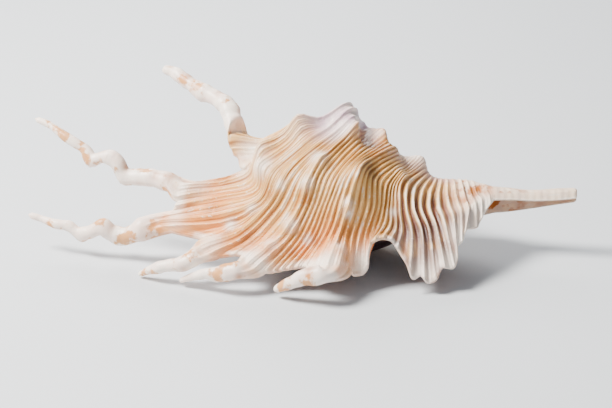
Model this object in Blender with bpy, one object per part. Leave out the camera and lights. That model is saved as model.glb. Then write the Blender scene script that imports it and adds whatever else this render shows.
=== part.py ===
"""A spider conch shell lying on a table, mouth down: whorl, flared lip with six long digits,
canal and spire, grown as one piece. Lengths below are in millimetres; the model is in metres."""

import math

import bpy
import numpy as np

MM = .001
OBJECT = "spider_conch"

# how finely the shell is built
LARGEST_STEP = .6       # cord numbers between two sections
ACROSS_OUTSIDE = (0, .25, .55, .85, 1.15, 1.45, 1.75, 2.05, 2.35, 2.65, 2.88, 3.1, 3.35, 3.7, 4, 4.4,
                  4.9, 5.5, 6.1, 6.7, 7.3, 8.4, 10)
ACROSS_INSIDE = (0, .12, .3, .5, .75, 1)
DIGIT_RINGS = 11
SPIRE_RINGS = 13
SPIRE_AROUND = 18
# cord numbers, and how many cords there are up to each: here one a number
CORD_COUNT = ([-3.5, 46], [-3.5, 46])
# The shell stands over the floor z = 0, mouth down. Cords, the raised spiral lines, run from the
# lip back over the crest and on round the axis. They are numbered from the shell's back end
# (-3.5) to the tip of its canal (46). "Across" is the place along a cord: 0 at the lip's edge,
# 1 on the wing, 2 on the flank, 3 on the crest, 7 under the belly and 10 inside the mouth.
AXIS_Z = 17.0            # height of the shell's axis, which runs along X
APEX_X = -22.0           # tip of the spire
WHORL_SHRINK = 1 / 1.8   # size of a whorl over the size of the next one
KEEL_FROM_APEX = 34.0    # from the apex to the last whorl's keel
FIRST_CORD = -3.5
LAST_CORD = 46.0
TO_ORIGIN = (1.52, 10.74, 0)   # brings the middle of the shell's footprint to the origin
BODY_END = 41.5          # the canal takes over after this cord

# cord, x, y, z of the lip's edge
LIP = [
    (-3.5, -16.5, 0, 19.5), (-2.6, -16, 2.5, 28), (-1.6, -16.4, 2.0, 33.6), (-.5, -18.3, 1.0, 34.4),
    (1, -20.4, -.5, 34.5), (2, -21.5, -2.0, 33.3), (2.7, -21.0, -3.5, 31.4), (3.2, -20, -4.5, 30.5),
    (3.5, -18.4, -6, 29.7), (3.8, -18, -8, 28), (4.2, -16.7, -9.5, 26.5), (4.6, -23.5, -9, 23.5),
    (5.1, -30, -8, 23.5), (6, -33.5, -8, 21.5), (6.9, -35, -10, 19.5), (8, -36, -12, 17.5),
    (9, -38, -12, 14.5), (10, -39.5, -12, 12), (11, -38.5, -14, 11), (12, -28, -19, 10.5),
    (13, -28.5, -22, 11), (14, -28, -25, 9.7), (15, -25.5, -27, 8.7), (16, -19.5, -28, 9.8),
    (17, -16, -30, 10), (18, -15, -32, 8), (19, -11.5, -33, 7), (21, -5.5, -33, 8), (23, 1.5, -34, 9),
    (24, 6, -37, 9.5), (25, 11, -36, 8.8), (25.6, 12.5, -34, 6.5), (26.4, 16, -32, 7.2),
    (27.2, 16.6, -30.5, 11.4), (27.8, 17.3, -29.5, 13.6), (28.4, 19.2, -29, 14.7), (29, 21.5, -28.7, 14.8),
    (29.6, 23.6, -29, 14), (30, 24.7, -29.5, 12.6), (30.4, 26, -31, 11), (30.8, 27.6, -33, 8.8),
    (31.2, 28.8, -34.7, 5.8), (31.7, 31, -34, 6.3), (32.4, 33, -35, 4.6), (33, 35, -34.5, 5.2),
    (33.6, 36.6, -33, 8), (34.2, 38, -33, 8.2), (34.9, 40, -31.8, 7.8), (35.5, 41, -29.5, 9.6),
    (36.1, 41, -27.5, 12), (36.8, 42.3, -25.5, 12.4), (37.5, 43.3, -23.7, 13.4), (38.2, 44, -21.8, 14.9),
    (39, 47.2, -18.5, 14), (39.7, 48.3, -16.4, 15), (40.4, 49.5, -14, 16.3), (41.5, 51.5, -9.6, 18),
]
# the cords at which the lip's line is read where a smooth one is needed
SMOOTH_LIP = (-3.5, -2.6, -1.6, -.5, 1, 2, 3.2, 4.2, 6, 10, 14, 18, 24, 28.4, 32.4, 36.1, 41.5)
WING = [
    (-3.5, -14, .8, 21), (-1, -11.5, 0, 31), (2, -13, -3, 33), (4.2, -14.5, -8.5, 29.5), (6, -23, -10, 23.5),
    (8, -23.5, -14, 21), (10, -22.5, -18, 17.5), (12, -19, -21, 15.5), (14, -18, -24, 14.5),
    (16, -14, -26, 13.5), (18, -7, -28, 14.5), (21, 1, -28.5, 14.5), (24, 9, -28.5, 16), (26, 15, -28, 14.5),
    (28, 21, -25, 17.5), (30, 26, -26, 15.5), (32, 31.5, -26, 15.5), (34, 35.5, -23, 16),
    (36, 40.5, -19.5, 17.5), (38, 45, -15, 18), (40, 49, -10, 18.5), (41.5, 51, -7, 18.5),
]
VALLEY = [
    (-3.5, -11.6, 1.6, 22.2), (-1, -9, 0, 32.2), (2, -10, -3, 34.3), (4.2, -13, -7.5, 32),
    (6, -15.5, -10.5, 27),
    (8, -14, -16, 24.5), (10, -12.5, -19.5, 22.5), (12, -11, -21, 22), (14, -10, -22, 22),
    (16, -7, -23.5, 21), (18, -2, -25, 21.5), (21, 5, -25, 23.5), (24, 11.5, -25, 24), (26, 17.5, -24, 22),
    (28, 22, -21.5, 21.5), (30, 25.5, -21.5, 21), (32, 29.5, -21, 20.5), (34, 34, -18, 19.3),
    (36, 39.8, -15, 18.6), (38, 44.6, -11.5, 18.6), (40, 48.5, -8, 18.7), (41.5, 50.6, -6.1, 18.7),
]
FLANK = [
    (-3.5, -9, 2, 23.7), (-1, -6, 0, 33.5), (2, -4.5, -2.5, 36.5), (4.2, -9.5, -5.5, 35), (6, -12, -8, 33.3),
    (8, -11, -12, 31), (10, -8.5, -16, 29.5), (12, -6.5, -17.5, 30), (14, -4, -18, 31), (16, -1, -19.5, 31),
    (18, 2, -20, 31), (21, 8.5, -20.5, 30.5), (24, 14, -20, 31), (26, 18.5, -19, 28.5), (28, 23, -17.5, 26),
    (30, 26, -16, 25.5), (32, 30, -15, 23.5), (34, 34.5, -13, 21.5), (36, 39.5, -10.5, 20),
    (38, 44.3, -8, 19.3), (40, 48, -6, 19), (41.5, 50, -5, 19),
]
CREST = [
    (-3.5, -3, 0, 29.5), (0, 2, 0, 35), (2.5, 6.5, 0, 38.7), (5, 11, 0, 41), (7.5, 13.9, 0, 39.8),
    (10, 16.2, 0, 38.2), (14, 19, 0, 36.4), (18, 22.5, 0, 33.8), (21, 24.5, 0, 32), (24, 26.5, 0, 30),
    (28, 30.5, 0, 26), (31, 33.5, 0, 23.2), (34, 37, 0, 21.2), (36, 40, 0, 20.8), (38, 43.8, -.5, 20.8),
    (40, 47.3, -1.5, 20.7), (41.5, 50, -3, 20.3),
]
# cord, how far the belly stands from the axis
BELLY = [
    (-3.5, 9.3), (0, 14.4), (3, 17.4), (5, 18.4), (7.5, 18.6), (10, 18.6), (14, 18.4), (18, 17.7),
    (21, 16.8), (24, 15.8), (28, 14.2), (31, 12.5), (34, 10.3), (38, 7.5), (41.5, 5.4),
]
# cords, and the row of CREST that each crosses at: they bunch under the highest knob
BUNCHED = ([-3.5, 5.5, 8, 12, 18, 21, 24, 26, 46], [-3.5, 5.5, 6.3, 7.8, 11.5, 16.5, 23, 26, 46])
# cords, and how far in the hollow reaches at each
DEEP = ([-3.5, -1, 2, 4.2, 8, 34, 37, 41, 43, 46], [.3, .5, .7, .8, 2.2, 2.5, 2.1, 2.1, 2.6, 2.6])
# cords, and how thick the wall is at each over its full thickness
WALL = ([-3.5, 0, 4, 26, 31, 38, 41, 42.5, 46], [.7, .8, 1, 1, .7, .7, .6, .5, .42])
MEAN_OVER = 1.2          # cords to each side over which the wall's direction is a mean
# the place across of each of the curves that a cord is drawn through
PLACES = np.array([0, 1, 1.5, 2, 3, 4, 5, 6, 7, 8, 9, 10])
# canal: cord, x, y and z of its middle, radius
CANAL = [
    (42.2, 53, -4.5, 16.2, 3.9), (43, 57.5, -5, 16.4, 3.5), (44, 63.5, -6, 17, 2.7),
    (45, 69.5, -7, 18.1, 2.4), (46, 75, -7.7, 18.9, 2.1),
]
# Digits, the long spines of the lip: the cords each one takes in, how far out its root turns
# round, how soon the root turns to the digit's own way, its heels (x, y, z, the way each points,
# height, spread) and its line (x, y, z, radius).
DIGITS = [
    ((-1.8, 3.3), 5, .75,
     [(-29, 11.5, 42.3, -.6, 0, -.8, .8, 3), (-21.5, 3.5, 38.8, .9, 0, .4, .7, 2.2),
      (-34, 15.5, 44, .2, 0, -1, .6, 2.2), (-38, 19, 45.4, .4, 0, 1, .4, 2)],
     [(-19.8, 0, 35.6, 2.9), (-21.1, 2.5, 37.8, 2.6), (-22.2, 5, 39.9, 2.5), (-25.7, 9, 41.5, 2.4),
      (-30.9, 13, 43, 2.2), (-35.4, 17, 44.7, 1.9), (-39, 20, 45.9, 1.6), (-41.4, 21.5, 46.2, 1.4)]),
    ((4.9, 7.6), 7, .15,
     [(-51, -2, 22.5, -.3, 0, -1, 1.2, 2.4), (-55, -.5, 26.7, .3, 0, 1, .9, 2.2),
      (-61, 1, 26, -.4, 0, -1, 1.1, 2), (-66.5, 4, 30, .2, 0, 1, .5, 2), (-43.5, -5, 22, 0, 0, 1, .6, 2.2)],
     [(-37, -7, 21.5, 2.8), (-42, -5, 22, 2.5), (-47.5, -3, 22, 2.2), (-51, -2, 22.3, 2.1),
      (-53.5, -1, 25.6, 1.9), (-57, 0, 26.8, 1.8), (-60.5, 1, 25.9, 1.6), (-63, 3, 28.3, 1.5),
      (-66.5, 4, 30, 1.3), (-70, 6, 32, 1.2), (-73, 8, 33.5, 1.0), (-77.5, 10, 34.8, .8)]),
    ((8.6, 11.2), 8, .15,
     [(-44.5, -12, 10.5, 0, 0, 1, 1.4, 2.4), (-57, -10, 9, 0, 0, 1, 1.3, 2),
      (-52, -11, 7.2, 0, 0, -1, 1.0, 2.5), (-63.5, -8, 7, 0, 0, -1, 1.0, 1.8),
      (-67, -7, 8.5, 0, 0, 1, .6, 1.6)],
     [(-44, -12, 10.2, 3.0), (-47, -12, 9, 2.7), (-50.5, -11, 7.5, 2.3), (-54, -10, 7.5, 2.1),
      (-57.5, -10, 9, 2.0), (-61.5, -9, 7.5, 1.7), (-64, -8, 7, 1.5), (-67, -7, 8.3, 1.4),
      (-71.5, -6, 9, 1.2), (-75, -4, 9.5, 1.0), (-79, -3, 10.5, .8)]),
    ((12.5, 15.3), 5.5, .15,
     [(-34.5, -28, 5.5, 0, -.5, 1, .6, 1.8), (-39.5, -28, 4.3, 0, -.5, 1, .5, 1.6)],
     [(-31.1, -27.9, 7.6, 2.4), (-34.1, -28.3, 6.1, 1.9), (-37.2, -27.2, 5.4, 1.8),
      (-40.3, -26.3, 4.3, 1.6), (-43.2, -25.0, 2.9, 1.15), (-46.2, -23.2, .8, .78)]),
    ((16.6, 19.2), 5.5, .15,
     [(-20.5, -33.5, 5.8, 0, -.4, -1, .8, 2), (-27, -33, 5.2, 0, -.5, 1, .6, 1.7),
      (-24, -33, 5, 0, 0, -1, .7, 1.8)],
     [(-17.5, -34, 7.4, 2.4), (-21, -34, 6.7, 2.0), (-24.3, -33, 5.5, 1.85), (-27.7, -31.8, 4.8, 1.35),
      (-31, -30.4, 3.4, 1.05), (-34.5, -29.3, 1.7, .78)]),
    ((22.7, 25.3), 5.5, .15,
     [(3.5, -40, 7.5, 0, -.6, -1, .7, 2), (-1, -40.3, 6.8, 0, -.4, 1, .7, 1.8)],
     [(4, -40.7, 9, 2.4), (.4, -40, 7.7, 2.1), (-1.6, -39.5, 6.8, 2.0), (-4.3, -38.6, 5.2, 1.6),
      (-8.6, -36.4, 2.2, .88)]),
]
# knobs and hollows on the whorl: cord, across, height, reach along the axis, reach across it
KNOBS = [
    (5.8, 2.45, 4.4, 3.6, 4.5), (5.6, 2.9, 3.2, 4.6, 6), (18.7, 3, -3.8, 2.4, 7), (21.1, 3, 2.2, 2.6, 4),
    (22.6, 3, -3.6, 2, 6), (23.7, 2.82, 2.6, 2.8, 4), (25.8, 3, -1.8, 2, 6), (28.8, 3.2, 3, 3, 4),
    (18, 2.68, 3, 2.6, 2.8), (19.6, 2.75, -2, 2.2, 3), (18, 2.15, 1.6, 2.2, 2.4),
    (18, 1.82, 1.1, 1.8, 2), (18.2, 1.2, 1.2, 1.8, 1.8), (18, .65, .9, 1.8, 1.8), (8, 1.86, 1.7, 2.6, 3),
    (6, 2, 1.2, 2.2, 3), (24, 1.9, 2, 2.2, 3.2), (24, 1.43, 1.2, 1.8, 1.8), (24.3, .46, 1, 1.8, 1.8),
    (25.4, 2.25, -1.8, 2.6, 4), (30, 1.6, .8, 1.5, 3), (29, 2.3, 1.2, 2, 3), (11, 1.3, 1, 1.8, 1.8),
    (12, .8, .8, 1.8, 1.8), (5, 4.1, 2.6, 3.4, 3.4), (5, 5.1, 2, 2.8, 2.8), (5, 6, 1.2, 2.4, 2.4),
    (16, 4.2, 2.2, 2.3, 2.3), (23, 4.3, 1.8, 2.1, 2.1), (16, 5.3, 1.4, 1.9, 1.9), (30, 4.8, 1.2, 1.9, 1.9),
]


def natural_spline(table, at):
    """The smoothest curve through a table of (parameter, values...), read at the parameters at."""
    t = np.array([r[0] for r in table], float)
    v = np.array([r[1:] for r in table], float)
    h = np.diff(t)
    bend = np.eye(len(t))
    pull = np.zeros_like(v)
    for i in range(1, len(t) - 1):
        bend[i, i - 1:i + 2] = h[i - 1], 2 * (h[i - 1] + h[i]), h[i]
        pull[i] = 6 * ((v[i + 1] - v[i]) / h[i] - (v[i] - v[i - 1]) / h[i - 1])
    m = np.linalg.solve(bend, pull)
    k = np.clip(np.searchsorted(t, at) - 1, 0, len(t) - 2)
    u = (at - t[k])[:, None]
    w = (t[k + 1] - at)[:, None]
    step = h[k][:, None]
    curved = (m[k] * w**3 + m[k + 1] * u**3) / (6 * step)
    return curved + (v[k] / step - m[k] * step / 6) * w + (v[k + 1] / step - m[k + 1] * step / 6) * u


def hermite(u, a, b, da, db):
    """The cubic from a to b, as u goes from 0 to 1, with slopes da and db."""
    return ((1 + 2 * u) * (1 - u) ** 2 * a + u * (1 - u) ** 2 * da
            + u**2 * (3 - 2 * u) * b + u**2 * (u - 1) * db)


def slopes(h, v):
    """A slope at each of the points v (first axis), which are h apart, from its two neighbours."""
    d = np.diff(v, axis=0) / h
    return np.concatenate([d[:1], (d[:-1] * h[1:] + d[1:] * h[:-1]) / (h[:-1] + h[1:]), d[-1:]])


def local_spline(table, at):
    """A curve through a table that keeps a sharp turn local."""
    t = np.array([r[0] for r in table], float)
    v = np.array([r[1:] for r in table], float)
    h = np.diff(t)[:, None]
    m = slopes(h, v)
    k = np.clip(np.searchsorted(t, at) - 1, 0, len(t) - 2)
    u = (at - t[k])[:, None] / h[k]
    return hermite(u, v[k], v[k + 1], h[k] * m[k], h[k] * m[k + 1])


def smoothstep(a, b, x):
    u = np.clip((x - a) / (b - a), 0, 1)
    return u * u * (3 - 2 * u)


def bell(x, middle, width):
    return np.exp(-((x - middle) / width) ** 2)


def unit(v):
    return v / np.maximum(np.linalg.norm(v, axis=-1, keepdims=True), 1e-9)


def control_points(n, smooth_lip=False):
    """(cords, 12, 3): lip, wing, valley, flank, crest, then seven more an eighth of a turn apart."""
    nb = np.minimum(n, BODY_END)
    lip = [r for r in LIP if r[0] in SMOOTH_LIP] if smooth_lip else LIP
    pts = np.zeros((len(n), len(PLACES), 3))
    pts[:, 0] = local_spline(lip, nb)
    pts[:, 1] = natural_spline(WING, nb)
    pts[:, 2] = natural_spline(VALLEY, nb)
    pts[:, 3] = natural_spline(FLANK, nb)
    crest = natural_spline(CREST, nb)
    pts[:, 4] = natural_spline(CREST, np.interp(nb, *BUNCHED))
    r = crest[:, 2] - AXIS_Z
    drift = np.clip((42 - nb) / 34, 0, 1)
    belly = bell(nb, 16, 9)
    low = natural_spline(BELLY, nb)[:, 0] / (r * WHORL_SHRINK ** .5)
    keel = bell(nb, 4.5, 2.4)
    for j in range(1, 8):
        k = WHORL_SHRINK ** (j / 8)
        angle = math.radians(90 + 45 * j)
        rr = r * (1 - (1 - k) * smoothstep(42, 34, nb))
        rr = rr * (1 + (0, 0, .15, .6, 1, .65, .25, 0)[j] * (low - 1))
        rr = rr + (0, 1.2, 1.6, 1.0, 0, 0, 0, 0)[j] * belly - (0, .8, 1.2, .9, .5, .9, .7, .4)[j] * keel
        pts[:, 4 + j, 0] = APEX_X + (crest[:, 0] - APEX_X) * (1 - (1 - k) * drift)
        pts[:, 4 + j, 1] = crest[:, 1] - rr * math.cos(angle)
        pts[:, 4 + j, 2] = AXIS_Z + rr * math.sin(angle)
    # the belly leans towards the mouth, so that it shows through the notch
    lean = np.exp(-np.abs((nb - 24) / 9) ** 3)[:, None]
    for j, shift in ((7, (0, -1.5, 0)), (8, (0, -4.0, 0)), (9, (0, -3.2, -3.0)), (10, (0, -1.5, -1.5))):
        pts[:, j] += lean * np.array(shift)
    middle = natural_spline(CANAL, np.maximum(n, CANAL[0][0]))
    tip = smoothstep(43, 45.5, n)
    canal = np.zeros_like(pts)
    for j, degrees in enumerate((25, 50, 60, 70, 90, 135, 180, 225, 275, 225, 180, 125)):
        angle = np.radians(degrees + {0: -25, 8: 30}.get(j, 0) * tip)
        rad = middle[:, 3] if j < 9 else np.maximum(middle[:, 3] - 1.35, .45 * middle[:, 3])
        canal[:, j, 0] = middle[:, 0]
        canal[:, j, 1] = middle[:, 1] - rad * np.cos(angle)
        canal[:, j, 2] = middle[:, 2] + rad * np.sin(angle)
    w = np.repeat(smoothstep(40.0, 42.2, n)[:, None], len(PLACES), 1)
    w[:, 8:] = smoothstep(34.0, 42.2, n)[:, None]
    return pts * (1 - w[:, :, None]) + canal * w[:, :, None]


def along(ctrl, c):
    """The points at the places c, (cords, places), on a curve through each row of ctrl."""
    h = np.maximum(np.linalg.norm(np.diff(ctrl, axis=1), axis=2) ** .5, 1e-3)[:, :, None]
    m = slopes(h.swapaxes(0, 1), ctrl.swapaxes(0, 1)).swapaxes(0, 1)
    k = np.clip(np.searchsorted(PLACES, c, side="right") - 1, 0, len(PLACES) - 2)
    row = np.arange(len(ctrl))[:, None]
    step = h[row, k]
    u = ((c - PLACES[k]) / (PLACES[k + 1] - PLACES[k]))[:, :, None]
    return hermite(u, ctrl[row, k], ctrl[row, k + 1], step * m[row, k], step * m[row, k + 1])


def tangents(n, c):
    """How the plain surface moves with the cord number, and the way each cord runs."""
    e = .02
    ahead = along(control_points(np.minimum(n + e, LAST_CORD), True), c)
    behind = along(control_points(np.maximum(n - e, FIRST_CORD), True), c)
    ctrl = control_points(n, True)
    dc = along(ctrl, np.minimum(c + e, 10)) - along(ctrl, np.maximum(c - e, 0))
    return (ahead - behind) / (2 * e), unit(dc)


def outward(n, c):
    return unit(np.cross(*tangents(n, c)))


def cord_spacing(n, c):
    """Millimetres from one cord to the next, measured square to the cord."""
    dn, dc = tangents(n, c)
    return np.linalg.norm(dn - dc * np.sum(dn * dc, axis=2, keepdims=True), axis=2)


def relief(n, c, base, nrm):
    """How far the cords, the ribs, the digits' roots and the knobs move each point of the surface."""
    N, C = n[:, None], c
    count = np.interp(N, CORD_COUNT[0], CORD_COUNT[1])
    which = np.round(count)
    strength = .85 + .3 * np.sin(which * 2.4) * np.sin(which * .7 + 1) + .12 * np.sin(C * 9 + which * 2.1)
    cord = np.interp(C, [0, 1, 2, 3, 4, 5, 6, 6.8, 10], [.5, .55, .5, .4, .35, .32, .25, 0, 0])
    cord = np.minimum(cord, .22 * cord_spacing(n, c)) * (1 - smoothstep(40, 42, N))
    cord = cord * np.interp(N, [-3.5, 1, 3, 26, 32, 38, 41], [.4, .5, 1, 1, 1.3, 1.1, .9])
    # the cords fade over the crest and its knobs
    top = smoothstep(2.2, 2.6, C - .35 * smoothstep(12, 19, N)) * smoothstep(4.4, 3.6, C)
    cord = cord * (1 - (.65 + .3 * smoothstep(30, 18, N)) * top)
    groove = 1 - np.abs(2 * np.mod(count, 1) - 1) ** 2.2      # 0 on a cord, 1 half way to the next
    up = cord * strength * (1 - 2 * groove)
    for rib, width in ((2, 1.5), (6, 1.3), (10, 1.3), (14, 1.2), (18, 1.2), (24, 1.2)):
        up = up + bell(N, rib, .8) * np.interp(C, [0, 2, 3, 4, 6], [.6, .8, .5, .3, 0])
        up = up + bell(N, rib + .3, width) * 1.9 * smoothstep(1.1, 0, C)
    # the notch's edge turns out
    up = up + bell(N, 28.6, 1.5) * 1.1 * smoothstep(.5, 0, C)
    move = nrm * up[:, :, None]
    for cord_no, place, height, reach, reach_across in KNOBS:
        at_n, at_c = np.array([float(cord_no)]), np.array([[float(place)]])
        middle = along(control_points(at_n), at_c)[0, 0]
        way = outward(at_n, at_c)[0, 0]
        away = (base - middle) / np.array([reach, reach_across, reach_across])
        near = np.exp(-np.sum(away ** 2, axis=2)) * np.clip(nrm @ way + .3, 0, 1)
        move = move + height * near[:, :, None] * way
    return move


def wall(n, c):
    """The shell's thickness."""
    thick = np.interp(c, [0, .12, .4, 1, 2, 2.6], [1.3, 1.8, 2.2, 2.6, 2.6, 2.6])
    return thick * np.interp(n, *WALL)[:, None]


def settle(p):
    """Presses what reaches under the floor into one flat patch, softly."""
    z = p[:, 2]
    soft = 1.2
    p[:, 2] = np.where(z < 0, 0, np.where(z < soft, z * z / (2 * soft), z - soft / 2))
    return p


def shell_rings(n, c_out, c_in, ends, rims):
    """A closed ring of points at each cord number: over the outside from the lip to the core,
    round the end of the hollow, back along the inside and over the lip's rim."""
    ctrl = control_points(n)
    c = np.tile(c_out, (len(n), 1))
    base = along(ctrl, c)
    nrm = outward(n, c)
    outer = base + relief(n, c, base, nrm)
    deep = np.interp(n, *DEEP)
    c = c_in[None, :] * deep[:, None]
    plain = along(ctrl, c)
    nrm = outward(n, c)
    # the wall's own direction is a mean over a few cords, so that it doesn't fold at the lip
    before = outward(np.maximum(n - MEAN_OVER, FIRST_CORD), c)
    after = outward(np.minimum(n + MEAN_OVER, LAST_CORD), c)
    move = relief(n, c, plain, nrm)
    follow = move * .5 * smoothstep(1.2, 0, c)[:, :, None]
    # under a hollow of the outside the wall gives way too
    follow = follow + nrm * np.minimum(np.sum(move * nrm, axis=2, keepdims=True) + .6, 0)
    inner = plain + follow - unit(nrm + before + after) * wall(n, c)[:, :, None]
    gap = np.minimum(np.linalg.norm(inner[:, -1] - outer[:, -1], axis=1, keepdims=True), 4) * .6
    into = unit(outer[:, -1] - outer[:, -2]) * gap
    back = unit(inner[:, -2] - inner[:, -1]) * gap
    end = [hermite(e / (ends + 1), outer[:, -1], inner[:, -1], into, back) for e in range(1, ends + 1)]
    inner = inner[:, ::-1]
    # the rim bulges past the edge, square to the edge and to the wall
    thick = inner[:, -1] - outer[:, 0]
    bulge = unit(np.cross(thick, np.gradient(outer[:, 0], axis=0)))
    bulge = bulge * np.linalg.norm(thick, axis=1, keepdims=True) * .45
    turns = [math.pi * e / (rims + 1) for e in range(1, rims + 1)]
    rim = [inner[:, -1] - thick * (1 - math.cos(a)) / 2 + bulge * math.sin(a) for a in turns]
    return np.concatenate([outer, np.stack(end, axis=1), inner, np.stack(rim, axis=1)], axis=1), outer


def zip_cap(a, b, points):
    """Triangles between two chains of point numbers that start and end together."""
    tris = []
    i = j = 0
    while i < len(a) - 1 or j < len(b) - 1:
        ahead = i < len(a) - 1
        if ahead and j < len(b) - 1:
            by_a = np.linalg.norm(points[a[i + 1]] - points[b[j]])
            by_b = np.linalg.norm(points[a[i]] - points[b[j + 1]])
            ahead = by_a <= by_b
        if ahead:
            tris.append((a[i], a[i + 1], b[j]))
            i += 1
        else:
            tris.append((a[i], b[j + 1], b[j]))
            j += 1
    return [t for t in tris if len(set(t)) == 3]


def cap(ring, c_out, split_at, rims, points):
    """Closes a ring: its outside is laced to its inside from the rim to the place split_at."""
    k = len(ring)
    mid = k - (rims + 1) // 2
    split = int(np.argmin(abs(c_out - split_at)))
    a = [ring[(mid + q) % k] for q in range((split - mid) % k + 1)]
    b = [ring[(mid - q) % k] for q in range((mid - split) % k + 1)]
    return zip_cap(a, b, points)


def digit(ring, leave, turn, root, heels, path, rows, rims, count):
    """Rings of points from the lip's ring out to a digit's tip."""
    centre = ring.mean(axis=0)
    way = np.array([[*centre, path[0][3]]] + [list(p) for p in path], float)
    far = np.concatenate([[0], np.cumsum(np.linalg.norm(np.diff(way[:, :3], axis=0), axis=1))])
    s = np.linspace(0, far[-1], count)
    line = local_spline([(far[q], *way[q]) for q in range(len(way))], s)
    ahead = unit(np.gradient(line[:, :3], s, axis=0))
    at_root = int(np.argmin(abs(s - root)))
    # angle of each point round the digit, by its place round the lip's ring: the middle of the
    # outside is at a quarter turn
    edge = np.linalg.norm(np.roll(ring, -1, axis=0) - ring, axis=1)
    theta = 2 * math.pi * np.concatenate([[0], np.cumsum(edge)[:-1]]) / edge.sum()
    theta = math.pi / 2 + theta - theta[rows // 2]
    u = ring[0] - ring[rows - 1]
    u = unit(u - ahead[at_root] * (u @ ahead[at_root]))
    v = np.cross(ahead[at_root], u)
    if v @ (ring[rows // 2] - ring[rows + rims + rows // 2]) < 0:
        v = -v
    rounds = {}
    for q in range(at_root, count):
        u = unit(u - ahead[q] * (u @ ahead[q]))
        v = unit(v - ahead[q] * (v @ ahead[q]) - u * (v @ u))
        r = line[q, 3] * (1 + .07 * math.sin(.7 * s[q] + 5 * root) + .03 * math.sin(1.7 * s[q]))
        left = (far[-1] - s[q]) / 1.2
        if left < 1:
            r = r * math.sqrt(max(.05, 1 - (1 - left) ** 2))
        new = line[q, :3] + r * (np.cos(theta)[:, None] * u * 1.05 + np.sin(theta)[:, None] * v * .95)
        for *at, dx, dy, dz, height, spread in heels:
            pull = unit(np.array([dx, dy, dz], float))
            side = np.clip(((new - line[q, :3]) @ pull) / r, 0, 1)
            near = np.exp(-np.sum((line[q, :3] - at) ** 2) / spread**2)
            new = new + (height * side * near)[:, None] * pull
        rounds[q] = new
    goal = rounds[at_root]
    leave = unit(leave)
    leave = unit((leave + leave.mean(axis=0)) * (1 - turn) + turn * 2 * unit(goal.mean(axis=0) - centre))
    span = np.linalg.norm(goal - ring, axis=1, keepdims=True)
    first = []
    for q in range(1, at_root):
        first.append(hermite(s[q] / s[at_root], ring, goal, leave * span, ahead[at_root] * span))
    rings = first + [rounds[q] for q in range(at_root, count)]
    for r in rings:
        r[:, 2] = np.maximum(r[:, 2], 0)
    return rings, s


def build(n, c_out, c_in, digit_rings, ends, rims):
    """Points in mm, faces, and four marks a point: cord, across, 1 inside, millimetres out along a digit."""
    rings, outer = shell_rings(n, c_out, c_in, ends, rims)
    m, k = rings.shape[:2]
    grid = settle(rings.reshape(-1, 3))
    points = [grid]
    deepest = 2.5 * c_in[::-1]
    end_places = np.linspace(c_out[-1], deepest[0], ends + 2)[1:-1]
    places = np.concatenate([c_out, end_places, deepest, np.zeros(rims)])
    within = np.concatenate([np.zeros(len(c_out)), np.ones(ends + len(c_in)), np.full(rims, .5)])
    marks = [np.stack([np.repeat(n, k), np.tile(places, m), np.tile(within, m), np.zeros(m * k)], axis=1)]
    total = m * k
    faces = []
    spans = [tuple(int(np.argmin(abs(n - v))) for v in entry[0]) for entry in DIGITS]
    first_rim = k - rims - 1      # the lip's inner edge, then the rim
    for i in range(m - 1):
        for j in range(k):
            if not (j >= first_rim and any(a <= i < b for a, b in spans)):
                j2 = (j + 1) % k
                faces.append((i * k + j, (i + 1) * k + j, (i + 1) * k + j2, i * k + j2))
    # the canal's blunt tip, then the shell's back end
    ring = rings[-1]
    middle = ring[:len(c_out)].mean(axis=0)
    prev = [(m - 1) * k + j for j in range(k)]
    for shrink, ahead in ((.93, .5), (.75, .9)):
        ids = list(range(total, total + k))
        points.append(middle + (ring - middle) * shrink + np.array([ahead, 0, 0]))
        marks.append(marks[0][-k:])
        total += k
        faces += [(prev[j], ids[j], ids[(j + 1) % k], prev[(j + 1) % k]) for j in range(k)]
        prev = ids
    so_far = np.concatenate(points)
    faces += [t[::-1] for t in cap(prev, c_out, 7.3, rims, so_far)]
    faces += cap(list(range(k)), c_out, 5.5, rims, so_far)
    for (i0, i1), (_, root, turn, heels, path) in zip(spans, DIGITS):
        rows = list(range(i1, i0 - 1, -1))
        loop = [i * k for i in rows] + [i0 * k + j for j in range(k - 1, k - rims - 1, -1)]
        loop += [i * k + first_rim for i in rows[::-1]] + [i1 * k + j for j in range(k - rims, k)]
        stations = rows + [i0] * rims + rows[::-1] + [i1] * rims
        leave = outer[stations, 0] - outer[stations, 1]
        new_rings, s = digit(grid[loop], leave, turn, root, heels, path, len(rows), rims, digit_rings)
        prev = loop
        for q, new in enumerate(new_rings, 1):
            ids = list(range(total, total + len(loop)))
            points.append(new)
            mark = marks[0][loop].copy()
            mark[:, 3] = s[q]
            marks.append(mark)
            total += len(loop)
            for j in range(len(loop)):
                j2 = (j + 1) % len(loop)
                faces.append((prev[j], prev[j2], ids[j2], ids[j]))
            prev = ids
        faces.append(tuple(prev))
    return np.concatenate(points), faces, np.concatenate(marks)


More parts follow.
